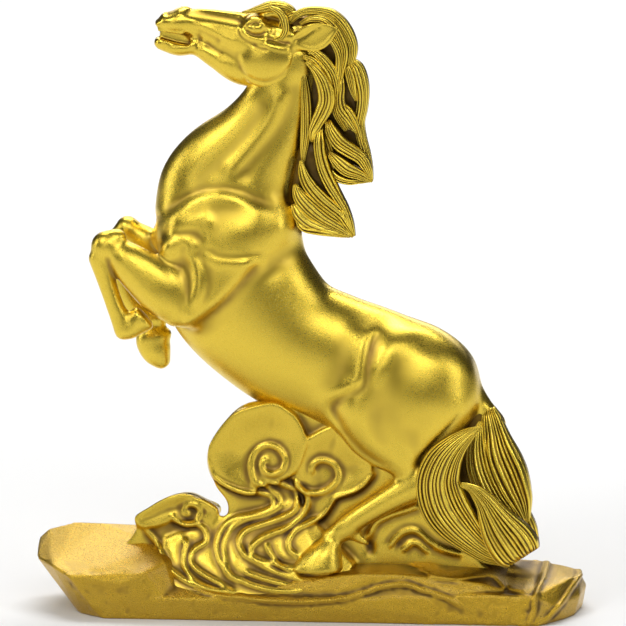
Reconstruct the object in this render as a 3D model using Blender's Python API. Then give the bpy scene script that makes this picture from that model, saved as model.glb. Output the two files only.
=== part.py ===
"""Brass statue of a rearing horse over scrolling clouds, cast in one piece with its rocky base.

X runs from the horse's nose to its tail, -Y is the side that the statue shows, Z is up.
The origin is on the underside, in the middle of the base's box.
"""

import math

import bmesh
import bpy
from mathutils import Matrix, Vector

# Driving sizes, in metres
FIGURE_HEIGHT = 0.3395  # from the top of the slab to the top of the mane
SLAB_HEIGHT = 0.0205  # from the underside to the level that the horse stands on
BASE_LENGTH = 0.3235
BASE_DEPTH = 0.082
BOULDER_HEIGHT = 0.048  # the raised left end of the base

# The figure is drawn in shares of its own height, this many steps tall and a little more
# than one step up for each step along, because its heights were judged from slightly above.
FIGURE_STEPS = 583
STEP = FIGURE_HEIGHT / FIGURE_STEPS
RISE_RATIO = 1.022

# Fineness of the casting's surface
VOXEL = 0.0016
SMOOTHING_PASSES = 4
FACES_KEPT = 9400
RING_SIDES = 20
SUBSTEPS = 4

BRASS_COLOUR = (0.83, 0.60, 0.16, 1.0)

BOTH = (1, -1)
NEAR = (1,)


def spot(x, z, y=0.0):
    """A point of the figure, in metres: x along, z above the slab, y across, in steps."""
    return Vector((x * STEP, y * STEP, SLAB_HEIGHT + z * STEP * RISE_RATIO))


def curve_through(rows, substeps=SUBSTEPS, closed=False):
    """Rows of numbers on a smooth curve through the given rows."""
    count = len(rows)
    last = count if closed else count - 1
    found = []
    for i in range(last):
        if closed:
            four = [rows[(i + k) % count] for k in (-1, 0, 1, 2)]
        else:
            four = [rows[min(max(i + k, 0), count - 1)] for k in (-1, 0, 1, 2)]
        for j in range(substeps):
            t = j / substeps
            found.append([spline(four, k, t) for k in range(len(rows[0]))])
    if not closed:
        found.append(list(rows[-1]))
    return found


def spline(four, k, t):
    """Catmull-Rom value of column k between the second and the third of four rows."""
    a, b, c, d = (row[k] for row in four)
    return b + 0.5 * t * (c - a + t * (2 * a - 5 * b + 4 * c - d + t * (3 * (b - c) + d - a)))


def bridge(shell, rings):
    """Closes a skin over rings of equal length, with a point at each end."""
    loops = [[shell.verts.new(point) for point in ring] for ring in rings]
    for first, second in zip(loops, loops[1:]):
        for k in range(len(first)):
            after = (k + 1) % len(first)
            shell.faces.new((first[k], first[after], second[after], second[k]))
    for loop in (loops[0], loops[-1]):
        middle = sum((vert.co for vert in loop), Vector()) / len(loop)
        tip = shell.verts.new(middle)
        for k in range(len(loop)):
            shell.faces.new((loop[k], loop[(k + 1) % len(loop)], tip))


def limb(shell, stations, sides=NEAR, cap=1.0, level_end=False):
    """A tapering body along a curve. Each station is x, z, y, half height, half width, in steps."""
    rows = curve_through(stations)
    for side in sides:
        points = [spot(x, z, side * y) for x, z, y, _, _ in rows]
        sizes = [(max(high, 1) * STEP, max(wide, 1) * STEP) for _, _, _, high, wide in rows]
        rings = []
        for i, (point, (high, wide)) in enumerate(zip(points, sizes)):
            ahead = points[min(i + 1, len(points) - 1)] - points[max(i - 1, 0)]
            tangent = Vector((0, 0, -1)) if level_end else ahead.normalized()
            across = (Vector((0, 1, 0)) - tangent * tangent.y).normalized()
            normal = across.cross(tangent)
            ring = section(point, normal * high, across * wide)
            if i == 0:
                rings += dome(point, ring, -tangent * min(high, wide) * cap)
            rings.append(ring)
            if i == len(points) - 1 and not level_end:
                rings += dome(point, ring, tangent * min(high, wide) * cap)[::-1]
        bridge(shell, rings)


def section(centre, high, wide):
    """An elliptical ring round a centre."""
    turns = [2 * math.pi * k / RING_SIDES for k in range(RING_SIDES)]
    return [centre + high * math.cos(turn) + wide * math.sin(turn) for turn in turns]


def dome(centre, ring, reach):
    """Rings that close one end of a limb as a rounded cap, the smallest first."""
    rings = []
    for share in (0.93, 0.7, 0.38):
        width = math.sqrt(1 - share * share)
        rings.append([centre + (point - centre) * width + reach * share for point in ring])
    return rings


def ball(shell, x, z, y, along, up, wide, lean=0.0, sides=NEAR):
    """An ellipsoid with its radii in steps, leaning by an angle in degrees in the side view."""
    for side in sides:
        turn = Matrix.Rotation(math.radians(-lean), 4, "Y")
        size = Matrix.Diagonal((along * STEP, wide * STEP, up * STEP, 1))
        place = Matrix.Translation(spot(x, z, side * y)) @ turn @ size
        bmesh.ops.create_icosphere(shell, subdivisions=3, radius=1, matrix=place)


def plate(shell, outline, reach):
    """A slab with a smooth outline of x and z steps, reaching this far to each side."""
    rows = curve_through(outline, closed=True)
    front = [shell.verts.new(spot(x, z, -reach)) for x, z in rows]
    back = [shell.verts.new(spot(x, z, reach)) for x, z in rows]
    for k in range(len(rows)):
        after = (k + 1) % len(rows)
        shell.faces.new((front[k], front[after], back[after], back[k]))
    shell.faces.new(front[::-1])
    shell.faces.new(back)


def rim(shell, outline, reach, thick):
    """A raised edge along a plate's outline, on both of its sides."""
    loop = curve_through(outline, closed=True)
    stations = [(x, z, reach, thick, thick) for x, z in loop[::2]] + [(*loop[0], reach, thick, thick)]
    limb(shell, stations, sides=BOTH)


def spiral(shell, x, z, y, radius, start, turns, thick):
    """A curled ridge that winds in round a centre. Negative turns wind the other way."""
    count = 9 * math.ceil(abs(turns))
    stations = []
    for k in range(count + 1):
        share = k / count
        reach = radius * (1 - 0.82 * share)
        turn = math.radians(start) + 2 * math.pi * turns * share
        size = thick * (1 - 0.3 * share)
        stations.append((x + reach * math.cos(turn), z + reach * math.sin(turn), y, size, size * 1.2))
    limb(shell, stations, sides=BOTH)


# The horse. Each station is x, z, y, half height, half width, and y is towards the side shown.

TORSO = [(-81, 322, 0, 72, 39), (-72, 282, 0, 77, 45), (-29, 236, 0, 70, 46), (16, 215, 0, 69, 44),
         (62, 199, 0, 69, 42), (106, 179, 0, 64, 40), (122, 166, 0, 50, 34)]
NECK = [(-86, 358, 0, 73, 39), (-82, 384, 0, 72, 37), (-74, 404, 0, 62.5, 33), (-53, 436, 0, 47, 27),
        (-38, 466, 0, 36, 23),
        (-26, 496, 0, 31, 20), (-15, 518, 0, 23, 18)]
SKULL = [(-15, 530, 0, 21, 17), (-41, 528, 0, 27, 23), (-65, 533, 0, 25, 23), (-91, 541, 0, 19, 17),
         (-115, 548, 0, 15, 14), (-133, 551, 0, 13, 14), (-147, 549, 0, 10, 12), (-154, 546, 0, 5, 9)]
JAW = [(-49, 510, 0, 26, 18), (-72, 508, 0, 21, 17), (-97, 517, 0, 15, 12), (-117, 525, 0, 10, 11),
       (-135, 524, 0, 9, 11), (-151, 525, 0, 7, 9)]
EAR = [(-19, 533, -17, 5, 5), (-9, 536, -20, 12, 7), (3, 539, -23, 14, 7), (16, 544, -24, 10, 5),
       (29, 550, -25, 2, 2)]
SHOULDER = [(-40, 350, -16, 22, 22), (-66, 338, -27, 32, 20), (-88, 312, -34, 31, 18), (-107, 282, -37, 22, 17),
            (-120, 262, -38, 12, 13)]
UPPER_ARM = [(-112, 330, -32, 16, 15), (-104, 305, -41, 13, 12), (-111, 280, -43, 10, 11), (-121, 262, -40, 9, 11)]
NEAR_FOREARM = [(-198, 328, -33, 13, 11), (-188, 321, -35, 18, 13), (-167, 305, -37, 24, 16),
                (-148, 289, -38, 26, 18), (-130, 270, -38, 20, 16)]
NEAR_CANNON = [(-211, 320, -33, 12, 9.5), (-203, 294, -33, 11, 8), (-192, 263, -33, 11, 8.5), (-184, 247, -33, 12, 9.5)]
NEAR_HOOF = [(-184, 245, -33, 9, 9), (-175, 253, -33, 12, 10), (-166, 261, -33, 15, 12)]
FAR_FOREARM = [(-188, 334, 32, 12, 11), (-166, 316, 33, 20, 14), (-141, 286, 35, 24, 16), (-124, 263, 36, 20, 15)]
FAR_CANNON = [(-190, 330, 31, 11, 9), (-178, 290, 30, 9, 8), (-168, 258, 28, 9, 8.5), (-164, 244, 27, 10, 9)]
FAR_HOOF = [(-165, 239, 26, 11, 9), (-164, 227, 25, 17, 12), (-158, 212, 24, 15, 12), (-150, 200, 23, 6, 8)]
HAUNCH = [(115, 213, -18, 46, 20), (104, 181, -26, 50, 22), (98, 141, -31, 28, 17), (96, 113, -34, 9, 9)]
STIFLE = [(88, 232, -22, 16, 15), (70, 206, -28, 24, 18), (54, 173, -31, 29, 19), (70, 143, -33, 24, 17),
          (93, 116, -35, 10, 10)]
HIND_CANNON = [(120, 103, -36, 17, 12), (95, 92, -38, 14.5, 11), (70, 78, -39, 12.5, 10), (46, 63, -40, 11.5, 10),
               (34, 53, -40, 12, 10.5), (22, 44, -40, 9, 9)]
HIND_HOOF = [(21, 46, -40, 9, 9), (13, 32, -40, 18, 14), (6, 14, -40, 27, 18)]
FETLOCK_TUFT = [(38, 52, -39, 8, 7), (52, 42, -39, 5, 4), (65, 35, -39, 1.5, 1.5)]


def add_trunk(shell):
    for stations in (TORSO, NECK):
        limb(shell, stations)
    for stations in (SHOULDER, UPPER_ARM):
        limb(shell, stations, sides=BOTH)
    ball(shell, -92, 338, -10, 66, 47, 39, lean=-12, sides=BOTH)
    ball(shell, -150, 332, 14, 15, 17, 18)
    ball(shell, -134, 330, -34, 17, 15, 12)
    ball(shell, -138, 306, -24, 18, 18, 16)


def add_head(shell):
    limb(shell, SKULL)
    limb(shell, JAW)
    limb(shell, EAR, sides=BOTH)
    ball(shell, -45, 509, -17, 28, 28, 8, sides=BOTH)
    ball(shell, -59, 544, -20, 8, 7, 6, sides=BOTH)
    ball(shell, -137, 553, -11, 6, 4, 4, lean=40, sides=BOTH)


def add_forelegs(shell):
    for stations in (NEAR_FOREARM, NEAR_CANNON, FAR_FOREARM, FAR_CANNON):
        limb(shell, stations)
    for stations in (NEAR_HOOF, FAR_HOOF):
        limb(shell, stations, cap=0.15)
    ball(shell, -208, 334, -33, 14, 14, 12)
    ball(shell, -189, 336, 32, 12, 13, 12)


def add_hind_legs(shell):
    for stations in (HAUNCH, STIFLE, HIND_CANNON, FETLOCK_TUFT):
        limb(shell, stations, sides=BOTH)
    limb(shell, HIND_HOOF, sides=BOTH, level_end=True)


# Hair. Each lock is x, z and half height; the side view's depth and thickness come from its row.

MANE_CORE = [(-17, 547, 0, 12, 12), (8, 531, 0, 22, 15), (18, 500, 0, 29, 15), (17, 465, 0, 32, 14),
             (15, 433, 0, 33, 14), (12, 403, 0, 33, 14), (7, 373, 0, 28, 13), (6, 352, 0, 14, 10)]
MANE_LOCKS = [
    (-7, [(-25, 553, 4), (-9, 557, 6), (9, 555, 7.5), (26, 543, 8.5), (34.5, 527, 8.5), (36, 511, 7), (32, 501, 3)]),
    (-6, [(41, 517, 5), (46.5, 495, 8), (47, 471, 7.5), (44, 448, 7.5), (48, 426, 8), (55, 406, 6), (58.5, 394, 2)]),
    (-14, [(3, 526, 6), (17, 512, 9), (23, 490, 9), (24, 468, 8), (33, 452, 7), (43, 438, 3)]),
    (-17, [(0, 512, 6), (10, 492, 9), (13, 474, 10), (7, 456, 8), (1, 434, 2)]),
    (-12, [(15, 454, 6), (27, 436, 10), (43, 425, 9), (53, 416, 6), (58, 405, 2)]),
    (-11, [(19, 423, 5), (31, 409, 9), (44, 401, 8), (58, 393, 2)]),
    (-13, [(6, 442, 7), (11, 418, 9), (17, 396, 9), (25, 373, 7.5), (34, 354, 6), (40, 341, 2)]),
    (-16, [(-8, 430, 4), (-6, 404, 8), (8, 382, 10), (22, 364, 8), (36, 344, 2)]),
    (-17, [(-14, 398, 5), (-10, 379, 9), (6, 363, 9), (22, 351, 7), (35, 341, 2)]),
    (-13, [(-15, 371, 4), (-8, 354, 9), (9, 346, 7), (31, 341, 3)]),
]
FORELOCK = [
    (-2, [(-31, 560, 3), (-38, 565, 4), (-50, 563, 4), (-66, 555, 2)]),
    (-14, [(-30, 560, 3), (-25, 550, 5), (-24, 540, 4), (-28, 533, 1.5)]),
]
TAIL_CORE = [(156, 178, 0, 12, 12), (166, 146, 0, 27, 18), (164, 105, 0, 36, 22), (168, 66, 0, 40, 24),
             (184, 28, 0, 28, 20)]
# A tail lock: its depth, how many strands it is combed into, and its rows.
TAIL_LOCKS = [
    (0, 2, [(174, 181, 5), (178, 150, 16), (189, 122, 20), (198, 104, 21), (204, 86, 22), (208, 70, 14)]),
    (-31, 4, [(166, 152, 3), (147, 137, 11), (135, 121, 18), (128, 101, 21), (132, 81, 24), (142, 64, 25),
              (153, 48, 19), (170, 35, 8)]),
    (-27, 3, [(157, 92, 6), (169, 91, 8), (176, 80, 10), (183, 66, 15), (195, 50, 24), (206, 35, 25)]),
]


def hair_lock(shell, depth, rows, fullness, strands=1, sides=BOTH):
    """A flattened lock that swells in the middle, combed into strands that lie side by side."""
    for strand in range(strands):
        aside = (2 * strand + 1) / strands - 1
        stations = []
        for k, (x, z, high) in enumerate(rows):
            before, after = rows[max(k - 1, 0)], rows[min(k + 1, len(rows) - 1)]
            along, up = after[0] - before[0], after[1] - before[1]
            across = aside * high / math.hypot(along, up)
            swell = math.sin(math.pi * (k + 0.5) / len(rows))
            deep = depth * (0.8 + 0.2 * swell) * (1 - 0.12 * abs(aside))
            wide = 3 + high * fullness * swell
            stations.append((x + up * across, z - along * across, deep, high / strands + 0.4, wide))
        limb(shell, stations, sides=sides)


def add_hair(shell):
    limb(shell, MANE_CORE)
    limb(shell, TAIL_CORE)
    for depth, rows in MANE_LOCKS:
        hair_lock(shell, depth, rows, 0.6, strands=2)
    for depth, rows in FORELOCK:
        hair_lock(shell, depth, rows, 0.7)
    for depth, strands, rows in TAIL_LOCKS:
        hair_lock(shell, depth, rows, 0.5, strands=strands)


# Clouds. Outlines and ribbons are x and z steps on the side shown, and the back repeats them.

CLOUD_CORE = [(-63, 176), (-13, 172), (27, 162), (62, 128), (100, 112), (116, 84), (140, 58), (167, 25), (167, -12),
              (-183, -12), (-163, 30), (-113, 42), (-88, 55), (-84, 75), (-98, 95), (-103, 120), (-88, 150)]
BIG_SCROLL = [(-103, 124), (-100, 137), (-87, 156), (-71, 169), (-39, 177), (-24, 171), (-12, 160), (-4, 140),
              (-9, 120), (-18, 105), (-33, 96), (-49, 93), (-61, 83), (-82, 89), (-96, 101)]
SECOND_SCROLL = [(-13, 112), (-11, 128), (-2, 142), (27, 155), (41, 138), (60, 119), (59, 106), (51, 93), (34, 86),
                 (22, 80), (16, 68), (7, 59), (-11, 50), (-31, 40), (-21, 58), (-6, 78), (-15, 93)]
SMALL_SCROLL = [(-177, 60), (-164, 69), (-145, 80), (-125, 84), (-110, 78), (-95, 69), (-97, 62), (-105, 56),
                (-121, 52), (-137, 56), (-161, 49), (-174, 51)]
# Each ribbon: half height, half width, and its stations of x, z and depth.
RIBBONS = [
    (6, 7, [(-52, 88, -36), (-56, 78, -38), (-48, 68, -40), (-56, 60, -43), (-76, 53, -46), (-89, 44, -48),
            (-95, 32, -51), (-93, 14, -56), (-78, -4, -62)]),
    (6, 7, [(-40, 84, -36), (-36, 74, -39), (-46, 62, -42), (-66, 52, -45), (-80, 42, -48), (-82, 28, -52),
            (-72, 12, -57), (-50, -2, -62)]),
    (7, 7, [(-20, 90, -34), (-12, 77, -37), (-20, 62, -41), (-46, 52, -44), (-66, 40, -48), (-68, 28, -51),
            (-52, 14, -55), (-14, 4, -60), (20, 0, -62)]),
    (5, 6, [(-158, 48, -36), (-135, 49, -38), (-114, 47, -40), (-105, 39, -43), (-114, 26, -48), (-119, 16, -54),
            (-108, 6, -60), (-74, -4, -64)]),
    (5, 6, [(-165, 40, -38), (-143, 36, -44), (-130, 28, -50), (-132, 16, -56), (-122, 3, -62), (-96, -10, -66)]),
    (7, 16, [(62, 20, -12), (81, 32, -12), (95, 41, -12), (106, 40, -12), (120, 30, -12), (137, 21, -12), (160, 14, -12)]),
    (6, 14, [(64, 14, -28), (89, 26, -28), (103, 29, -28), (116, 21, -28), (132, 13, -28)]),
    (6, 12, [(76, 10, -42), (96, 18, -42), (108, 16, -42), (122, 8, -42)]),
]
LEAN_RATIO = 0.19  # the clouds' back stands this much lower for each step away


def add_clouds(shell):
    before = len(shell.verts)
    plate(shell, CLOUD_CORE, 26)
    plate(shell, BIG_SCROLL, 32)
    plate(shell, SECOND_SCROLL, 29)
    plate(shell, SMALL_SCROLL, 28)
    rim(shell, BIG_SCROLL, 33, 3.5)
    rim(shell, SECOND_SCROLL, 29, 3)
    rim(shell, SMALL_SCROLL, 28, 2.5)
    spiral(shell, -43, 117, 34, 17, 240, -1.4, 4.5)
    spiral(shell, 9, 104, 30, 20, 200, 1.4, 4.5)
    spiral(shell, -121, 66, 29, 12, 250, -1.4, 3.5)
    for high, wide, rows in RIBBONS:
        limb(shell, [(x, z, y, high, wide) for x, z, y in rows], sides=BOTH)
    lean = Matrix.Identity(4)
    lean[2][1] = -LEAN_RATIO
    lean[2][3] = -LEAN_RATIO * 30 * STEP
    shell.verts.ensure_lookup_table()
    bmesh.ops.transform(shell, matrix=lean, verts=shell.verts[before:])


# The rocky base. Corners are shares of half its length and half its depth, and of a rock's height.

BOULDER = [(-0.81, -0.66, 0), (-0.72, -0.97, 0), (-0.45, -0.98, 0), (-0.40, 0.9, 0), (-0.78, 0.88, 0),
           (-1.0, 0.05, 0.66), (-0.995, -0.30, 0.62), (-0.93, -0.70, 0.59), (-0.865, -0.93, 0.51),
           (-0.69, -0.99, 0.45), (-0.59, -0.94, 0.55), (-0.52, -0.72, 0.66), (-0.57, -0.50, 0.78), (-0.66, -0.15, 0.9),
           (-0.77, 0.14, 0.97), (-0.87, 0.28, 0.95), (-0.965, 0.30, 0.86), (-0.997, 0.2, 0.77), (-0.97, 0.55, 0.6),
           (-0.86, 0.85, 0.55), (-0.70, 0.62, 0.82), (-0.58, 0.30, 0.92), (-0.47, 0.30, 0.90), (-0.40, 0.85, 0.5),
           (-0.38, 0.2, 0.66)]
SLAB = [(-0.76, -0.98, 0), (0.83, -1.0, 0), (0.94, -0.35, 0), (0.965, 0.3, 0), (0.92, 0.97, 0), (-0.7, 0.95, 0),
        (-0.60, -0.98, 0.62), (-0.2, -0.99, 0.60), (0.12, -0.98, 0.64), (-0.5, -0.72, 1.0), (0.1, -0.7, 1.02),
        (0.73, -0.93, 0.86), (0.81, -0.90, 0.84), (0.90, -0.42, 1.0), (0.94, -0.12, 1.05), (0.965, 0.2, 1.0),
        (0.985, 0.35, 0.62), (0.97, -0.15, 0.55), (0.90, -0.72, 0.5), (0.955, 0.55, 0.98), (0.92, 0.93, 0.7),
        (0.80, 0.88, 1.08), (0.2, 0.88, 1.08), (-0.6, 0.85, 1.0), (0.3, 0.98, 0.7)]
SKIRT = [(-0.60, -0.92, 0.62), (0.10, -0.92, 0.66), (-0.62, -0.5, 1.75), (-0.52, -0.42, 2.2), (-0.34, -0.36, 3.1),
         (-0.06, -0.38, 3.2), (0.16, -0.55, 1.5), (-0.60, 0.92, 0.6), (0.10, 0.92, 0.6), (-0.62, 0.4, 1.4),
         (-0.5, 0.2, 1.7), (-0.34, 0.2, 2.4), (-0.12, 0.3, 2.2), (0.16, 0.5, 1.4), (-0.6, -0.9, 0), (0.1, 0.9, 0)]
MOUND = [(0.05, -0.98, 0.5), (0.66, -0.98, 0.4), (0.72, 0.92, 0.4), (-0.25, 0.92, 0.4), (-0.12, -0.88, 0.95),
         (-0.02, -0.80, 1.24), (0.2, -0.86, 1.40), (0.36, -0.86, 1.38), (0.47, -0.84, 1.2), (0.62, -0.82, 1.16),
         (0.71, -0.78, 0.95), (0.24, -0.1, 1.52), (0.58, 0.0, 1.50), (0.64, -0.2, 1.40), (0.10, 0.75, 1.40),
         (0.56, 0.75, 1.40), (0.70, 0.3, 1.1), (-0.2, 0.7, 1.1)]


def rock(shell, corners, height):
    """A faceted rock: the convex hull of its corners, sunk a little below the underside's level."""
    points = [shell.verts.new((x * BASE_LENGTH / 2, y * BASE_DEPTH / 2, z * height)) for x, y, z in corners]
    points += [shell.verts.new((point.co.x, point.co.y, -SLAB_HEIGHT / 4)) for point in points if point.co.z <= 0]
    hull = bmesh.ops.convex_hull(shell, input=points)
    spare = [item for item in hull["geom_interior"] if isinstance(item, bmesh.types.BMVert)]
    bmesh.ops.delete(shell, geom=spare, context="VERTS")


def add_base(shell):
    rock(shell, BOULDER, BOULDER_HEIGHT)
    rock(shell, SLAB, SLAB_HEIGHT)
    rock(shell, SKIRT, SLAB_HEIGHT)
    rock(shell, MOUND, SLAB_HEIGHT)


def brass():
    material = bpy.data.materials.new("brass")
    material.use_nodes = True
    shader = material.node_tree.nodes["Principled BSDF"]
    shader.inputs["Base Color"].default_value = BRASS_COLOUR
    shader.inputs["Metallic"].default_value = 1.0
    shader.inputs["Roughness"].default_value = 0.3
    return material


def mesh_object(name, shell):
    mesh = bpy.data.meshes.new(name)
    bmesh.ops.recalc_face_normals(shell, faces=shell.faces)
    shell.to_mesh(mesh)
    shell.free()
    thing = bpy.data.objects.new(name, mesh)
    bpy.context.scene.collection.objects.link(thing)
    return thing


def underside_cutter():
    """Everything below the level that the base stands on."""
    shell = bmesh.new()
    place = Matrix.Translation((0, 0, -FIGURE_HEIGHT / 2)) @ Matrix.Scale(FIGURE_HEIGHT, 4)
    bmesh.ops.create_cube(shell, size=1, matrix=place)
    cutter = mesh_object("underside_cutter", shell)
    cutter.hide_render = True
    cutter.display_type = "WIRE"
    return cutter


def main():
    for thing in list(bpy.data.objects):
        bpy.data.objects.remove(thing)
    shell = bmesh.new()
    for add in (add_trunk, add_head, add_forelegs, add_hind_legs, add_hair, add_clouds, add_base):
        add(shell)
    statue = mesh_object("horse_statue", shell)
    statue.data.materials.append(brass())

    fuse = statue.modifiers.new("fuse", "REMESH")
    fuse.mode = "VOXEL"
    fuse.voxel_size = VOXEL
    soften = statue.modifiers.new("soften", "SMOOTH")
    soften.factor = 0.5
    soften.iterations = SMOOTHING_PASSES
    bpy.context.view_layer.update()
    fused = statue.evaluated_get(bpy.context.evaluated_depsgraph_get())
    fused.data.calc_loop_triangles()
    thin = statue.modifiers.new("thin", "DECIMATE")
    thin.ratio = FACES_KEPT / len(fused.data.loop_triangles)
    thin.use_collapse_triangulate = True
    level = statue.modifiers.new("level_underside", "BOOLEAN")
    level.operation = "DIFFERENCE"
    level.object = underside_cutter()


main()
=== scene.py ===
"""Brass statue of a rearing horse over scrolling clouds on a rocky base: the fine surface and its looks."""
import math

import bmesh
import bpy
import numpy as np
import openvdb
from mathutils import Matrix, Vector


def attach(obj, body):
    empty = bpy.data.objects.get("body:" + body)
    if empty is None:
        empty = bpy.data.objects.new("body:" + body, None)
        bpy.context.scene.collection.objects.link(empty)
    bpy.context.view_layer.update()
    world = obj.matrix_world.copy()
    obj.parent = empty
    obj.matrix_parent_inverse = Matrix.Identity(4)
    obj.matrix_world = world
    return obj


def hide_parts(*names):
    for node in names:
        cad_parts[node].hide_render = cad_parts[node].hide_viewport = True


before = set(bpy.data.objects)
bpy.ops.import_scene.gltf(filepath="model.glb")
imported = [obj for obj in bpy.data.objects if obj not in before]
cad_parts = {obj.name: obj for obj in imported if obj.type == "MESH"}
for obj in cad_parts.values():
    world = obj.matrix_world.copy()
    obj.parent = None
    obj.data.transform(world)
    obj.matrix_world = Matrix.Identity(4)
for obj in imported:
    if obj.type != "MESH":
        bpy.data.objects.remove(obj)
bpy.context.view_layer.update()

# The casting's sizes, in metres, as in the solid
FIGURE_HEIGHT = 0.3395
SLAB_HEIGHT = 0.0205
BASE_LENGTH = 0.3235
BASE_DEPTH = 0.082
BOULDER_HEIGHT = 0.048
FIGURE_STEPS = 583
STEP = FIGURE_HEIGHT / FIGURE_STEPS
RISE = 1.022
LEAN_BACK = 0.19
LEAN_FROM = 30  # how deep on the near side the clouds' leaning starts, in steps
FAR_DEPTH = 76  # how many steps deeper the far face's relief lies

# The photograph looks at the statue from slightly above and behind its shoulder. One step is one pixel.
AZIMUTH = 4.4
ELEVATION = 12.0
DISTANCE = 8.0
SENSOR = 36
FRAME_PIXELS = 626
LOOK_AT = (0, 0, 0.1756)
CENTRE_COLUMN = 313
GROUND_ROW = 573
# How far a point moves across and down the picture for each step that it stands nearer
SHIFT = 0.077
DROP = 0.208

BAND = 9.0  # how far from a surface its distance is known, in cells
BOTH = (1, -1)
NEAR = (1,)
FACE_BLEND = 6  # over how many steps a relief fades out between the near and the far face
WIDE_BLUR = 3
TIGHT_BLUR = 1
MILLIMETRE = 0.001
LEAST_RADIUS = 0.6
HALF_OVERLAP = 0.0006


def spot(x, z, y=0.0):
    """A point of the figure, in metres: x along, z above the slab, y across, in steps."""
    return Vector((x * STEP, y * STEP, SLAB_HEIGHT + z * STEP * RISE))


def seen(px, py, depth):
    """The x, z and y, in steps, of what the photograph shows at a pixel, this deep on the near side."""
    return px - CENTRE_COLUMN + SHIFT * depth, GROUND_ROW - py + DROP * depth, -depth


def facing(pixels, depth):
    """A curve of the photograph's pixels, at one depth, as x and z steps."""
    return [seen(px, py, depth)[:2] for px, py in pixels]


def eased(share):
    """A share from 0 to 1 that starts and stops softly."""
    return share * share * (3 - 2 * share)


def curve_through(rows, substeps=4, closed=False):
    """Rows of numbers on a smooth curve through the given rows."""
    count = len(rows)
    last = count if closed else count - 1
    found = []
    for i in range(last):
        if closed:
            four = [rows[(i + k) % count] for k in (-1, 0, 1, 2)]
        else:
            four = [rows[min(max(i + k, 0), count - 1)] for k in (-1, 0, 1, 2)]
        for j in range(substeps):
            t = j / substeps
            found.append([spline(four, k, t) for k in range(len(rows[0]))])
    if not closed:
        found.append(list(rows[-1]))
    return found


def spline(four, k, t):
    """One number between the second and the third of four rows."""
    a, b, c, d = (row[k] for row in four)
    return b + 0.5 * t * (c - a + t * (2 * a - 5 * b + 4 * c - d + t * (3 * (b - c) + d - a)))


# Closed shapes, each as (points, triangles) in metres

def loft(rings):
    """The closed skin over rings of equal length, with a point at each end."""
    rings = np.array(rings, np.float64)
    count, sides = rings.shape[:2]
    points = np.concatenate([rings.reshape(-1, 3), rings[:1].mean(1), rings[-1:].mean(1)])
    ring = np.arange(count - 1)[:, None] * sides
    k = np.arange(sides)[None, :]
    after = (k + 1) % sides
    a, b, c, d = ring + k, ring + after, ring + sides + after, ring + sides + k
    quads = np.stack([a, b, c, d], -1).reshape(-1, 4)
    triangles = np.concatenate([quads[:, [0, 1, 2]], quads[:, [0, 2, 3]]])
    k = np.arange(sides)
    after = (k + 1) % sides
    low = np.stack([after, k, np.full(sides, count * sides)], -1)
    top = (count - 1) * sides
    high = np.stack([top + k, top + after, np.full(sides, count * sides + 1)], -1)
    return points, np.concatenate([triangles, low, high])


def limb(stations, side=1, cap=1.0, level_end=False, substeps=4, sides=28):
    """A tapering body along a curve. Each station is x, z, y, half height, half width, in steps."""
    rows = curve_through(stations, substeps)
    points = [spot(x, z, side * y) for x, z, y, _, _ in rows]
    sizes = [(max(high, LEAST_RADIUS) * STEP, max(wide, LEAST_RADIUS) * STEP) for _, _, _, high, wide in rows]
    turns = [2 * math.pi * k / sides for k in range(sides)]
    rings = []
    for i, (point, (high, wide)) in enumerate(zip(points, sizes)):
        ahead = points[min(i + 1, len(points) - 1)] - points[max(i - 1, 0)]
        tangent = Vector((0, 0, -1)) if level_end else ahead.normalized()
        across = (Vector((0, 1, 0)) - tangent * tangent.y).normalized()
        normal = across.cross(tangent)
        ring = [point + normal * (high * math.cos(turn)) + across * (wide * math.sin(turn)) for turn in turns]
        if i == 0:
            rings += dome(point, ring, -tangent * min(high, wide) * cap)
        rings.append(ring)
        if i == len(points) - 1 and not level_end:
            rings += dome(point, ring, tangent * min(high, wide) * cap)[::-1]
    return loft(rings)


def dome(centre, ring, reach):
    """Rings that close one end of a limb as a rounded cap, the smallest first."""
    rings = []
    for share in (0.985, 0.93, 0.82, 0.65, 0.42, 0.2):
        width = math.sqrt(1 - share * share)
        rings.append([centre + (point - centre) * width + reach * share for point in ring])
    return rings


def ball(x, z, y, along, up, wide, lean=0.0, side=1):
    """An ellipsoid with its radii in steps, leaning by an angle in degrees in the side view."""
    turn = Matrix.Rotation(math.radians(-lean), 4, "Y")
    size = Matrix.Diagonal((along * STEP, wide * STEP, up * STEP, 1))
    place = Matrix.Translation(spot(x, z, side * y)) @ turn @ size
    shell = bmesh.new()
    bmesh.ops.create_icosphere(shell, subdivisions=4, radius=1, matrix=place)
    return taken(shell)


def taken(shell):
    """A bmesh's points and triangles."""
    bmesh.ops.triangulate(shell, faces=shell.faces)
    points = np.array([vert.co[:] for vert in shell.verts])
    triangles = np.array([[vert.index for vert in face.verts] for face in shell.faces])
    shell.free()
    return points, triangles


def plate(outline, front, back):
    """A slab with a smooth outline of x and z steps, between two depths."""
    rows = curve_through(outline, 6, closed=True)
    shell = bmesh.new()
    near = [shell.verts.new(spot(x, z, front)) for x, z in rows]
    far = [shell.verts.new(spot(x, z, back)) for x, z in rows]
    for k in range(len(rows)):
        after = (k + 1) % len(rows)
        shell.faces.new((near[k], near[after], far[after], far[k]))
    shell.faces.new(near[::-1])
    shell.faces.new(far)
    shell.verts.index_update()
    return taken(shell)


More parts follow.
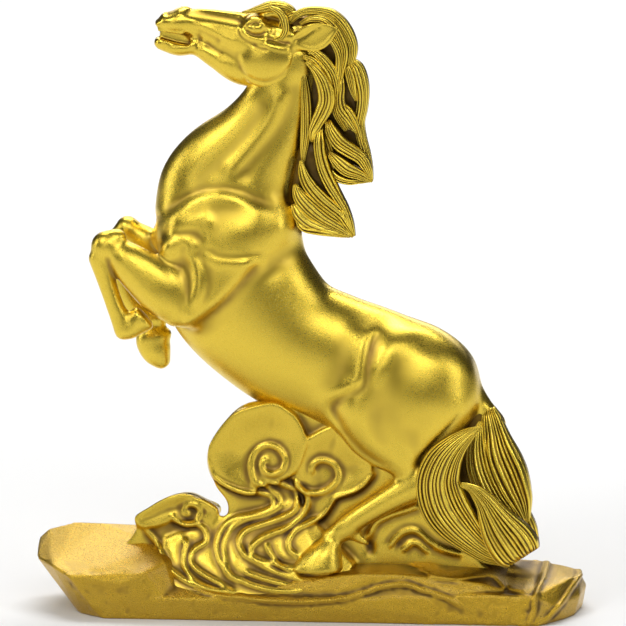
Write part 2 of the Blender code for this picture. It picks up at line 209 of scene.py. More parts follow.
def hull(corners, height):
    """A faceted rock. Corners are shares of the base's half length and half depth, and of a height."""
    shell = bmesh.new()
    points = [shell.verts.new((x * BASE_LENGTH / 2, y * BASE_DEPTH / 2, z * height)) for x, y, z in corners]
    low = [point for point in points if point.co.z <= 0]
    points += [shell.verts.new((point.co.x, point.co.y, -SLAB_HEIGHT / 4)) for point in low]
    inner = bmesh.ops.convex_hull(shell, input=points)["geom_interior"]
    spare = [item for item in inner if isinstance(item, bmesh.types.BMVert)]
    bmesh.ops.delete(shell, geom=spare, context="VERTS")
    shell.verts.index_update()
    return taken(shell)


class Cast:
    """Shapes melted together: the signed distance to their joint surface on a grid of cells."""

    def __init__(self, low, high, cell):
        self.cell = cell
        self.low = np.floor(np.array(low) / cell).astype(int) - 4
        self.size = np.ceil(np.array(high) / cell).astype(int) + 4 - self.low
        self.values = np.full(self.size, BAND, np.float32)

    def axis(self, k):
        """The places of the cells along one axis, in metres."""
        return (self.low[k] + np.arange(self.size[k])) * self.cell

    def distance(self, shape):
        """A shape's own distances, and the part of the grid that they cover."""
        points, triangles = shape
        scaled = points / self.cell
        low = np.maximum(np.floor(scaled.min(0)).astype(int) - int(BAND) - 1, self.low)
        high = np.minimum(np.ceil(scaled.max(0)).astype(int) + int(BAND) + 2, self.low + self.size)
        if (high <= low).any():
            return None, None
        grid = openvdb.FloatGrid.createLevelSetFromPolygons(
            scaled.astype(np.float32), triangles=triangles.astype(np.uint32),
            transform=openvdb.createLinearTransform(1.0), halfWidth=BAND)
        found = np.empty(high - low, np.float32)
        grid.copyToArray(found, ijk=tuple(int(v) for v in low))
        first = low - self.low
        last = high - self.low
        return found, tuple(slice(int(a), int(b)) for a, b in zip(first, last))

    def add(self, shape, soft=0.0):
        """Melts a shape on, with a fillet about this many metres wide where it joins."""
        self.melt(shape, soft, 1)

    def cut(self, shape, soft=0.0):
        """Takes a shape away, with its edge eased over about this many metres."""
        self.melt(shape, soft, -1)

    def melt(self, shape, soft, sign):
        """Adds a shape to what is solid, or to what is empty where the sign is below zero."""
        found, part = self.distance(shape)
        if found is None:
            return
        own = self.values[part] * sign
        reach = max(soft / self.cell, 1e-3)
        overlap = np.maximum(reach - np.abs(own - found), 0) / reach
        self.values[part] = (np.minimum(own, found) - overlap * overlap * reach * 0.25) * sign

    def carve(self, relief, sides=BOTH):
        """Raises the near or the far face, or both, by a side view's relief in metres."""
        y = self.axis(1)[None, :, None]
        for side in sides:
            share = np.clip(0.5 - side * y / (FACE_BLEND * STEP), 0, 1)
            self.values -= (relief[:, None, :] * share / self.cell).astype(np.float32)

    def level(self, height):
        """Cuts everything off below a height."""
        z = self.axis(2)[None, None, :]
        self.values = np.maximum(self.values, ((height - z) / self.cell).astype(np.float32))

    def mesh(self, name, smooth=0, side=0):
        """The surface as an object, or its near or far half, with how hollow each point of it is."""
        for _ in range(smooth):
            self.values = blurred(self.values, 1)
        grid = openvdb.FloatGrid()
        grid.copyFromArray(self.values)
        points, triangles, quads = grid.convertToPolygons(isovalue=0.0, adaptivity=0.0)
        points = points.astype(np.float64)
        marks = {}
        # How hollow each point is, over a wide and a tight blur, for the brown of patina and painted shade
        for mark, radius in (("hollow", WIDE_BLUR), ("crease", TIGHT_BLUR)):
            marks[mark] = -sampled(blurred(self.values, radius), points) * self.cell / MILLIMETRE
        points = (points + self.low) * self.cell
        if side:
            quads = quads[(points[quads][:, :, 1] * side).min(1) < HALF_OVERLAP]
            used, quads = np.unique(quads, return_inverse=True)
            quads = quads.reshape(-1, 4)
            points = points[used]
            marks = {mark: numbers[used] for mark, numbers in marks.items()}
        return surface(name, points, quads, triangles, marks)


def blurred(values, radius):
    """Values averaged over a cube of cells, twice over."""
    out = values
    for axis in range(3):
        for _ in range(2):
            padded = np.concatenate([np.repeat(out.take([0], axis), radius + 1, axis), out,
                                     np.repeat(out.take([-1], axis), radius, axis)], axis)
            total = np.cumsum(padded, axis, dtype=np.float64)
            size = out.shape[axis]
            width = 2 * radius + 1
            ahead = total.take(range(width, width + size), axis)
            behind = total.take(range(size), axis)
            out = ((ahead - behind) / width).astype(np.float32)
    return out


def sampled(values, points):
    """Values between the cells, at points given in cells."""
    low = np.clip(np.floor(points).astype(int), 0, np.array(values.shape) - 2)
    share = points - low
    total = np.zeros(len(points))
    for corner in np.ndindex(2, 2, 2):
        weight = np.prod(np.where(corner, share, 1 - share), axis=1)
        i, j, k = (low + corner).T
        total += weight * values[i, j, k]
    return total


def surface(name, points, quads, triangles=None, marks=None):
    """A smooth-shaded object from arrays, with a number at each point for each mark."""
    mesh = bpy.data.meshes.new(name)
    faces = [np.asarray(quads, np.int32)]
    if triangles is not None and len(triangles):
        faces.append(np.asarray(triangles, np.int32))
    loops = np.concatenate([face.reshape(-1) for face in faces])
    sizes = np.concatenate([np.full(len(face), face.shape[1], np.int32) for face in faces])
    mesh.vertices.add(len(points))
    mesh.vertices.foreach_set("co", np.asarray(points, np.float32).reshape(-1))
    mesh.loops.add(len(loops))
    mesh.loops.foreach_set("vertex_index", loops)
    mesh.polygons.add(len(sizes))
    mesh.polygons.foreach_set("loop_start", np.concatenate([[0], np.cumsum(sizes)[:-1]]).astype(np.int32))
    mesh.update(calc_edges=True)
    for mark, numbers in (marks or {}).items():
        layer = mesh.attributes.new(mark, "FLOAT", "POINT")
        layer.data.foreach_set("value", np.asarray(numbers, np.float32))
    mesh.shade_smooth()
    thing = bpy.data.objects.new(name, mesh)
    bpy.context.scene.collection.objects.link(thing)
    return thing


class Relief:
    """A side view's relief over a cast's grid: how much each place is raised, in metres."""

    def __init__(self, cast):
        self.x = cast.axis(0) / STEP
        self.z = (cast.axis(2) - SLAB_HEIGHT) / (STEP * RISE)
        self.raised = np.zeros((len(self.x), len(self.z)))

    def near(self, rows, reach):
        """The part of the grid near a curve, and there the distance, side and place along it."""
        line = np.array(curve_through(rows, 5))[:, :2]
        low, high = line.min(0) - reach, line.max(0) + reach
        i = np.searchsorted(self.x, [low[0], high[0]])
        k = np.searchsorted(self.z, [low[1], high[1]])
        part = (slice(i[0], i[1]), slice(k[0], k[1]))
        x = self.x[part[0]][:, None]
        z = self.z[part[1]][None, :]
        best = np.full((x.size, z.size), 1e9)
        side = np.zeros_like(best)
        along = np.zeros_like(best)
        lengths = np.hypot(*np.diff(line, axis=0).T)
        starts = np.concatenate([[0], np.cumsum(lengths)])
        for (ax, az), (bx, bz), length, start in zip(line, line[1:], lengths, starts):
            if length < 1e-6:
                continue
            ux, uz = (bx - ax) / length, (bz - az) / length
            t = np.clip((x - ax) * ux + (z - az) * uz, 0, length)
            dx, dz = x - ax - t * ux, z - az - t * uz
            apart = np.hypot(dx, dz)
            closer = apart < best
            best = np.where(closer, apart, best)
            side = np.where(closer, np.sign(ux * (z - az) - uz * (x - ax)), side)
            along = np.where(closer, start + t, along)
        return part, best, side, along / starts[-1]

    def ridge(self, rows, height, width, fade=0.12):
        """A rounded ridge along a curve of x and z steps, or a groove with a height below zero."""
        part, apart, _, along = self.near(rows, width * 2.6)
        ends = np.clip(np.minimum(along, 1 - along) / max(fade, 1e-6), 0, 1) if fade else 1.0
        self.raised[part] += height * MILLIMETRE * np.exp(-(apart / width) ** 2) * ends

    def draw(self, rows, fade=0.12):
        """Ridges, each given by its depth, height in mm, width in steps and pixels of the photograph."""
        for depth, height, width, pixels in rows:
            self.ridge(facing(pixels, depth), height, width, fade)

    def crest(self, pixels, depth, profile):
        """A crest in its groove, along pixels of the photograph."""
        for height, width, fade in profile:
            self.ridge(facing(pixels, depth), height, width, fade)

    def step(self, rows, height, width, groove=0.0, fade=0.15):
        """A muscle's edge: the left of the curve is raised and falls off, with a groove to its right."""
        part, apart, side, along = self.near(rows, width * 3)
        ends = eased(np.clip(np.minimum(along, 1 - along) / fade, 0, 1))
        signed = apart * side
        rise = 1 / (1 + np.exp(-signed / (0.09 * width + 0.6)))
        profile = height * rise * np.exp(-(apart / width) ** 2)
        profile -= groove * np.exp(-((signed + 0.10 * width) / (0.28 * width)) ** 2)
        self.raised[part] += MILLIMETRE * profile * ends

    def dish(self, outline, height, edge):
        """Sinks the inside of an outline, falling away from its edge."""
        loop = curve_through(outline, 5, closed=True)
        loop.append(loop[0])
        x, z = self.x[:, None], self.z[None, :]
        inside = np.zeros(self.raised.shape, bool)
        apart = np.full(self.raised.shape, 1e9)
        for (ax, az), (bx, bz) in zip(loop, loop[1:]):
            dx, dz = bx - ax, bz - az
            crosses = (az > z) != (bz > z)
            inside ^= crosses & (x < dx * (z - az) / (dz + 1e-12) + ax)
            t = np.clip(((x - ax) * dx + (z - az) * dz) / (dx ** 2 + dz ** 2 + 1e-12), 0, 1)
            apart = np.minimum(apart, np.hypot(x - ax - t * dx, z - az - t * dz))
        self.raised -= height * MILLIMETRE * inside * (1 - np.exp(-(apart / edge) ** 2))

    def bump(self, px, py, depth, height, along, up, lean=0.0):
        """A soft swelling at a pixel of the photograph, or a dent with a height below zero."""
        x, z, _ = seen(px, py, depth)
        turn = math.radians(lean)
        dx = self.x[:, None] - x
        dz = self.z[None, :] - z
        u = (dx * math.cos(turn) + dz * math.sin(turn)) / along
        v = (dz * math.cos(turn) - dx * math.sin(turn)) / up
        self.raised += height * MILLIMETRE * np.exp(-(u * u + v * v))


# The horse. Each station is x, z, y, half height, half width, and y is towards the side shown.

TORSO = [(-81, 322, 0, 72, 39), (-72, 282, 0, 77, 45), (-29, 236, 0, 70, 46), (16, 215, 0, 69, 44),
    (62, 199, 0, 69, 42), (104, 181, 0, 66, 41), (122, 167, 0, 52, 35)]
NECK = [(-86, 358, 0, 73, 39), (-82, 384, 0, 72, 37), (-74, 404, 0, 62.5, 33), (-53, 436, 0, 47, 27),
    (-38, 466, 0, 36, 23), (-26, 496, 0, 31, 20), (-15, 518, 0, 23, 18)]
SHOULDER = [(-40, 350, -16, 22, 22), (-66, 338, -27, 32, 20), (-88, 312, -34, 31, 18),
    (-107, 282, -37, 22, 17), (-120, 262, -38, 12, 13)]
UPPER_ARM = [(-112, 330, -32, 16, 15), (-104, 305, -41, 13, 12), (-111, 280, -43, 10, 11),
    (-121, 262, -40, 9, 11)]
NEAR_FOREARM = [(-198, 328, -33, 13, 11), (-188, 321, -35, 18, 13), (-167, 305, -37, 24, 16),
    (-148, 289, -38, 26, 18), (-130, 270, -38, 20, 16)]
NEAR_CANNON = [(-211, 320, -33, 12, 9.5), (-203, 294, -33, 10, 8), (-192, 263, -33, 10, 8.5),
    (-185, 247, -33, 12, 9.5)]
NEAR_HOOF = [(-184, 245, -33, 9, 9), (-175, 253, -33, 12, 10), (-166, 261, -33, 15, 12)]
FAR_FOREARM = [(-188, 334, 32, 12, 11), (-166, 316, 33, 20, 14), (-141, 286, 35, 24, 16),
    (-124, 263, 36, 20, 15)]
FAR_CANNON = [(-196, 330, 31, 11, 9), (-195, 296, 30, 12, 8), (-186, 268, 28, 11.5, 8.5),
    (-171, 247, 27, 10, 9)]
FAR_HOOF = [(-165, 239, 26, 11, 9), (-164, 227, 25, 17, 12), (-158, 212, 24, 15, 12), (-150, 200, 23, 6, 8)]
HAUNCH = [(113, 211, -16, 46, 22), (104, 181, -25, 50, 23), (98, 141, -31, 28, 17), (96, 113, -34, 9, 9)]
STIFLE = [(88, 232, -22, 16, 15), (70, 206, -28, 24, 18), (54, 173, -31, 29, 19), (70, 143, -33, 24, 17),
    (93, 116, -35, 10, 10)]
HIND_CANNON = [(120, 103, -36, 17, 12), (95, 92, -38, 14.5, 11), (70, 78, -39, 12.5, 10),
    (46, 63, -40, 11.5, 10), (34, 53, -40, 12, 10.5), (22, 44, -40, 9, 9)]
HIND_HOOF = [(21, 46, -41, 9, 9), (13, 32, -44, 19, 16), (6, 12, -46, 29, 21)]
DOCK = [(164, 182, 0, 7, 8), (172, 170, 0, 9, 9), (179, 158, 0, 13, 10), (184, 149, 0, 14, 9)]
FETLOCK_TUFT = [(38, 52, -39, 8, 7), (52, 42, -39, 5, 4), (65, 35, -39, 1.5, 1.5)]
# Rounded forms: x, z, y, three radii, lean and the width of the fillet
RIBS = (-92, 338, -10, 66, 47, 39, -12, 0.006)
BREAST = [(-150, 332, 14, 15, 17, 18, 0, 0.004), (-134, 330, -34, 17, 15, 12, 0, 0.003),
    (-138, 306, -24, 18, 18, 16, 0, 0.004)]
ELBOW = (-124, 297, -32, 14, 24, 16, -12, 0.004)
KNEES = [(-203, 331, -33, 17, 16, 13, 0, 0.002), (-194, 340, -33, 10, 9, 9, 0, 0.002),
    (-189, 336, 32, 12, 13, 12, 0, 0.002), (-160, 247, 26, 12, 10, 9, 0, 0.003)]
FAR_CORONET = (-161, 230, 25, 18, 9, 12, 12, 0.002)
# Edges of muscles: pixels of the photograph, depth, height, width and groove
EDGES = [
    ([(278, 214), (254, 203), (238, 196), (217, 193), (190, 200), (171, 215), (156, 226)], 40, 2.0, 16, 1.1),
    ([(182, 330), (217, 307), (249, 272), (263, 256)], 42, 1.8, 14, 1.4),
    ([(268, 255), (242, 258), (216, 256), (205, 246)], 42, 1.2, 10, 0.7),
    ([(402, 472), (374, 461), (354, 446), (337, 424), (330, 405), (350, 389), (362, 380), (366, 359),
        (371, 339), (387, 327)], 44, 2.7, 17, 0.9),
]
FORELEG_EDGE = ([(128, 240), (150, 252), (168, 270), (180, 300), (186, 326), (204, 332)], 46, 0.9, 9, 0.5)
# Ridges of the neck, shoulder, thigh and legs, and grooves where the height is below zero
MUSCLES = [
    (26, -1.3, 10, [(264, 94), (258, 118), (238, 146), (207, 175), (190, 190)]),
    (30, -1.6, 10, [(297, 76), (293, 102), (276, 132), (252, 162), (236, 186)]),
    (28, 1.3, 9, [(283, 90), (272, 122), (248, 152), (222, 177)]),
    (36, -1.0, 3.5, [(146, 246), (150, 232), (160, 219)]),
    (42, 0.8, 6.5, [(166, 236), (182, 228), (200, 221), (213, 213)]),
    (42, 0.7, 6, [(210, 216), (206, 232), (210, 247)]),
    (42, -0.8, 5, [(170, 240), (184, 235), (197, 236), (205, 244)]),
    (45, 1.4, 6, [(165, 262), (169, 247), (180, 241), (191, 245), (192, 257), (198, 268), (199, 290),
        (190, 310)]),
    (45, -0.9, 5, [(198, 247), (200, 258), (208, 268), (210, 284), (205, 300), (194, 318)]),
]
THIGH = [
    (46, 1.6, 10, [(389, 326), (388, 342), (383, 362), (374, 388)]),
    (46, -0.5, 9, [(382, 392), (376, 412), (382, 436), (395, 458)]),
    (46, -0.5, 7, [(403, 424), (414, 436), (417, 455), (412, 472)]),
]
FORELEG = [
    (46, 0.9, 9, [(118, 252), (134, 275), (152, 300), (170, 318)]),
    (44, -1.0, 3, [(106, 255), (114, 285), (124, 318)]),
    (44, 0.7, 3.5, [(100, 262), (110, 292), (120, 320)]),
    (-14, -0.8, 2.4, [(134, 339), (146, 336), (158, 333), (172, 333)]),
    (-14, 0.6, 2.2, [(141, 357), (149, 346), (158, 341), (168, 340)]),
]


def add_balls(cast, rows, side=1):
    """Melts on rounded forms that are given with their fillets."""
    for row in rows:
        cast.add(ball(*row[:7], side), row[7])


def draw_edges(relief, rows):
    """Draws edges of muscles, each raised on its left."""
    for pixels, depth, height, width, groove in rows:
        relief.step(facing(pixels, depth), height, width, groove)


def horse_body():
    """The trunk, neck, shoulders and thighs, with their muscles."""
    cast = Cast((-0.165, -0.040, 0.020), (0.119, 0.040, 0.338), 0.00113)
    cast.add(limb(TORSO, substeps=6, sides=48))
    cast.add(limb(NECK, substeps=6, sides=48), 0.009)
    for side in BOTH:
        add_balls(cast, [RIBS], side)
    cast.add(limb(DOCK), 0.003)
    add_balls(cast, BREAST)
    for side in BOTH:
        cast.add(limb(SHOULDER, side), 0.006)
        cast.add(limb(UPPER_ARM, side), 0.004)
        add_balls(cast, [ELBOW], side)
        cast.add(limb(HAUNCH, side), 0.016)
        cast.add(limb(STIFLE, side), 0.008)
    cast.values = blurred(cast.values, 2)
    relief = Relief(cast)
    draw_edges(relief, EDGES)
    relief.draw(MUSCLES)
    relief.draw(THIGH, 0.35)
    relief.bump(245, 228, 42, 0.9, 24, 18)
    relief.bump(358, 408, 46, 1.5, 17, 26)
    cast.carve(relief.raised)
    return cast


def build_body():
    """The body with its legs."""
    cast = horse_body()
    for stations in (NEAR_FOREARM, FAR_FOREARM):
        cast.add(limb(stations), 0.003)
    for stations in (NEAR_CANNON, FAR_CANNON):
        cast.add(limb(stations), 0.002)
    add_balls(cast, KNEES)
    for stations in (NEAR_HOOF, FAR_HOOF):
        cast.add(limb(stations, cap=0.15), 0.0015)
    add_balls(cast, [FAR_CORONET])
    for side in BOTH:
        cast.add(limb(HIND_CANNON, side), 0.004)
        cast.add(limb(HIND_HOOF, side, level_end=True), 0.0015)
        cast.add(limb(FETLOCK_TUFT, side), 0.002)
    relief = Relief(cast)
    draw_edges(relief, [FORELEG_EDGE])
    relief.draw(FORELEG)
    cast.carve(relief.raised, NEAR)
    return cast.mesh("horse_body", smooth=1)


# The head

SKULL = [(-15, 530, 0, 21, 17), (-41, 528, 0, 27, 22), (-65, 534, 0, 25, 21), (-91, 542, 0, 19, 15.5),
    (-115, 548, 0, 15, 13), (-133, 551, 0, 13, 13.5), (-146, 549, 0, 10, 12), (-153, 547, 0, 5, 9)]
JAW = [(-47, 510, 0, 26, 17), (-72, 508, 0, 21, 16), (-97, 517, 0, 14, 11.5), (-117, 525, 0, 9.5, 11),
    (-135, 524, 0, 9, 11.5), (-151, 526.5, 0, 6.2, 9)]
EAR = [(-21, 531, -16, 4, 5), (-10, 536, -19, 11, 6.5), (3, 539, -22, 14, 6.5), (16, 543, -24, 10.5, 5),
    (28, 549, -25, 1.2, 1.5)]
FOREHEAD = [(-52, 556, 0, 5, 9), (-40, 560, 0, 6, 9), (-26, 557, 0, 7, 10)]
MOUTH = [(-166, 540.5, 0, 6, 20), (-151, 538, 0, 5.4, 20), (-137, 534, 0, 5.2, 20), (-125, 530, 0, 3.4, 20)]
MOUTH_PLATE = [(-151, 543), (-138, 541), (-124, 536), (-122, 527), (-137, 527), (-152, 531)]
# Rounded forms of the head: pixel, depth, three radii, lean and the width of the fillet
SWELLINGS = [(267, 62, 13, 29, 28, 12, 0, 0.0015), (256, 29, 14, 13, 10, 9, 0, 0.003),
    (176, 25, 5, 14, 9, 9, -12, 0.002), (165, 44, 3, 11, 7, 8, 10, 0.0015), (284, 36, 12, 12, 9, 8, 0, 0.003)]
EYEBALL = (255.5, 30.5, 20.5, 5.4, 4.6, 3.2, 0, 0.0004)
TEETH = 7
FIRST_TOOTH = (-153.5, 542.3, -7.5)
TOOTH_STEP = (3.9, -0.42, -0.28)
# Dents: pixel, depth, height, two radii and lean
DENTS = [(172, 15, 11, -1.5, 6.5, 3.0, 42), (167, 18, 11, -0.9, 2.6, 1.6, 42), (276, 35, 20, -1.2, 7, 4, 0)]
FACE = [
    (13, -1.5, 3.6, [(183, 15), (206, 18.5), (232, 22), (246, 24)]),
    (11, 0.55, 2.4, [(187, 10.5), (215, 13), (243, 15.5), (260, 18)]),
    (13, 0.5, 2.0, [(179, 19), (183, 14), (190, 10)]),
    (15, 0.7, 3.2, [(194, 26), (211, 33), (226, 40), (238, 44)]),
    (14, -0.6, 3.6, [(196, 32), (210, 38), (222, 45)]),
    (14, -0.5, 2.4, [(204, 45), (214, 52), (223, 57)]),
    (13, 0.5, 3.0, [(200, 51), (213, 60), (226, 68)]),
    (12, 0.7, 2.2, [(184, 33), (192, 37), (195, 44), (190, 50)]),
    (12, -0.5, 2.2, [(199, 35), (200, 44), (196, 52)]),
    (24, -0.9, 2.6, [(239, 60), (240, 70), (246, 78), (258, 83), (270, 83), (283, 75), (293, 66),
        (297, 55)]),
    (22, -1.1, 2.2, [(264, 40), (278, 43), (292, 45)]),
    (22, 0.6, 3.0, [(262, 45), (276, 49), (290, 52)]),
    (22, -0.8, 1.8, [(252, 47), (260, 50), (269, 50)]),
    (20, 0.9, 1.8, [(241, 28), (243, 34), (251, 39), (262, 41), (268, 39)]),
    (20, -0.6, 1.8, [(238, 30), (240, 38), (249, 44), (260, 46)]),
    (20, 1.1, 1.7, [(244, 29), (248, 24), (255, 20.5), (262, 23), (265, 29)]),
    (20, -1.3, 1.5, [(246, 30), (249, 34), (256, 36.5), (263, 35), (266, 31)]),
    (20, -1.1, 1.2, [(248, 28), (251, 25.5), (256, 24), (261, 26)]),
    (19, 0.7, 2.4, [(240, 24), (248, 18), (258, 15.5), (268, 18)]),
    (17, -0.5, 1.8, [(242, 21), (252, 14), (264, 13)]),
]
EAR_RIM = [
    (23, -0.9, 1.6, [(292, 43), (303, 38), (313, 31), (322, 26)]),
    (23, 0.5, 1.5, [(294, 39), (303, 30), (313, 24.5), (326, 24), (338, 26)]),
    (23, 0.5, 1.4, [(294, 45), (303, 48.5), (313, 50), (324, 46), (332, 37), (338, 28)]),
]


def ear_leaf(side):
    """A pointed leaf with a rolled rim, cupped towards the side."""
    sides, flatness, cupping, rake, inset = 28, 0.6, 0.55, 0.25, 3
    rings = []
    for x, z, y, high, wide in curve_through(EAR, 5):
        ring = []
        for k in range(sides):
            turn = 2 * math.pi * k / sides
            up = math.cos(turn) * high
            out = math.sin(turn) * wide * flatness
            cup = cupping * wide * (up / max(high, LEAST_RADIUS)) ** 2
            ring.append(spot(x - rake * up, z + up, side * (y - cup + inset) - side * out))
        rings.append(ring)
    return loft(rings)


def placed(row):
    """A rounded form of the head with its place in steps."""
    return (*seen(*row[:3]), *row[3:])


def build_head():
    """The head with its open mouth, teeth, eyes and ears."""
    cast = Cast((-0.096, -0.0185, 0.301), (0.020, 0.0185, 0.361), 0.00056)
    cast.add(limb(SKULL, substeps=8, sides=48))
    cast.add(limb(JAW, substeps=8, sides=48), 0.0035)
    for side in BOTH:
        add_balls(cast, [placed(row) for row in SWELLINGS], side)
    cast.add(limb(FOREHEAD), 0.002)
    cast.cut(limb(MOUTH, sides=32), 0.0006)
    relief = Relief(cast)
    relief.draw(FACE)
    for row in DENTS:
        relief.bump(*row)
    cast.carve(relief.raised)
    for side in BOTH:
        add_balls(cast, [placed(EYEBALL)], side)
        cast.add(ear_leaf(side), 0.0012)
    for k in range(TEETH):
        place = [first + each * k for first, each in zip(FIRST_TOOTH, TOOTH_STEP)]
        tooth = (*place, 1.9, 3.4, 2.0, 0, 0.0003)
        for side in BOTH:
            add_balls(cast, [tooth], side)
    cast.add(plate(MOUTH_PLATE, -2.5, 2.5), 0.0008)
    relief = Relief(cast)
    relief.draw(EAR_RIM)
    cast.carve(relief.raised)
    return cast.mesh("horse_head", smooth=1)


# Hair. A lock is a depth, its strands, thickness, tilt and rows, and its seed sets how its strands vary.
# A row is a pixel of the photograph and the half width there. The depth is one number, or its start and end.

STRAND_POINTS = 6
BACK_POINTS = 9
STRAND_HEIGHT = 1.05
# The least and the most of a strand's share of the height and width, and of the gap beside it
HEIGHTS = (0.7, 1.25)
WIDTHS = (0.6, 1.45)
GAPS = (0.35, 1.0)
# How many strands' widths a strand wanders sideways, and how many half waves that makes along the lock
WANDER = 0.28
HALF_WAVES = 2.2
ROUNDNESS = 2.2
# Where between a strand's middle and its edge the painted shade starts, and how far it takes to be full
DARK_START = 0.55
DARK_REACH = 0.33
# A lock's thickness as a share of its half width, and in steps, and its back's as a share of its front's
THICKNESS = 0.42
LEAST_THICKNESS = 1.2
BACK = 0.6
# How dark the painted shade on a lock's back is, and how strong the hair's painted shade is
BACK_DARK = 0.8
HAIR_DARK = 0.3
# How far the far side's copy moves back and down for each metre of depth
FAR_SHIFT = 0.13
FAR_DROP = 0.38


class Skein:
    """Locks of hair gathered into one piece."""

    def __init__(self):
        self.points = []
        self.triangles = []
        self.crease = []
        self.count = 0

    def add(self, lock, seed):
        """A combed lock, and its plainer copy on the far side."""
        self.comb(*lock, seed, 1, 7)
        self.comb(*lock, seed, -1, 5)

    def comb(self, depth, strands, thick, tilt, rows, seed, side, steps):
        """A flat lens along the rows, with a ridge for each strand, a plain back in painted shade and painted
        shade between strands.
        """
        first, last = depth if isinstance(depth, tuple) else (depth, depth)
        stations = []
        for k, (px, py, wide) in enumerate(rows):
            deep = first + (last - first) * k / (len(rows) - 1)
            x, z, y = seen(px, py, deep)
            stations.append((x, z, y, wide))
        line = np.array(curve_through(stations, steps))
        centre = np.array([spot(x, z, y)[:] for x, z, y, _ in line])
        wide = np.maximum(line[:, 3], 0.35) * STEP
        ahead = np.gradient(centre, axis=0)
        ahead[:, 1] = 0
        ahead /= np.linalg.norm(ahead, axis=1, keepdims=True)
        across = np.stack([-ahead[:, 2], np.zeros(len(line)), ahead[:, 0]], 1)
        rng = np.random.default_rng(seed)
        heights = rng.uniform(*HEIGHTS, strands + 1)
        edges = np.concatenate([[0], np.cumsum(rng.uniform(*WIDTHS, strands))])
        edges = 2 * edges / edges[-1] - 1
        places = np.linspace(0, strands, STRAND_POINTS * strands + 1)
        a = np.interp(places, np.arange(strands + 1), edges)
        along = np.linspace(0, 1, len(line))[:, None]
        wander = WANDER * np.sin(HALF_WAVES * math.pi * along + rng.uniform(0, 6)) * (1 - a[None, :] ** 2)
        u = np.interp(a, edges, np.arange(strands + 1))[None, :]
        u = np.clip(u + wander, 0, strands - 1e-6)
        share = u - np.floor(u)
        gap = rng.uniform(*GAPS, strands + 1)[np.round(u).astype(int)]
        aside = np.abs(2 * share - 1)
        ridge = 1 - gap * aside ** ROUNDNESS
        # Painted shade in the grooves between strands
        dark = eased(np.clip((aside - DARK_START) / DARK_REACH, 0, 1)) * np.clip(gap * 1.3, 0, 1)
        pitch = 2 * wide / strands
        relief = ridge * heights[np.floor(u).astype(int)] * pitch[:, None] * STRAND_HEIGHT
        swell = np.sqrt(np.clip(1 - a ** 2, 0, 1))
        body = (THICKNESS * wide + LEAST_THICKNESS * STEP) * thick
        body *= np.clip(np.minimum(along[:, 0], 1 - along[:, 0]) * 9 + 0.25, 0, 1)
        front = body[:, None] * swell[None, :] + relief * np.clip(swell * 2.2, 0.15, 1)[None, :]
        front += tilt * wide[:, None] * a[None, :]
        b = np.linspace(1, -1, BACK_POINTS)[1:-1]
        back = -BACK * body[:, None] * np.sqrt(1 - b ** 2)[None, :] + tilt * wide[:, None] * b[None, :]
        spread = np.concatenate([a, b])
        rise = np.concatenate([front, back], 1)
        groove = np.concatenate([dark, np.full_like(back, BACK_DARK)], 1)
        rings = centre[:, None, :] + across[:, None, :] * (spread[None, :, None] * wide[:, None, None])
        rings[:, :, 1] -= rise
        if side < 0:
            rings[:, :, 1] *= -1
            rings[:, :, 0] -= FAR_SHIFT * rings[:, :, 1]
            rings[:, :, 2] -= FAR_DROP * rings[:, :, 1]
        points, triangles = loft(rings)
        if side < 0:
            triangles = triangles[:, ::-1]
        self.points.append(points)
        self.triangles.append(triangles + self.count)
        self.crease.append(np.concatenate([groove.reshape(-1), [1, 1]]))
        self.count += len(points)

    def piece(self, name):
        """All locks as one object."""
        groove = np.concatenate(self.crease)
        points = np.concatenate(self.points)
        triangles = np.concatenate(self.triangles)
        # The painted shade between strands and on the backs is carried as the crease mark
        marks = {"hollow": np.zeros(len(groove)), "crease": groove * HAIR_DARK}
        return surface(name, points, triangles[:, ::-1], marks=marks)


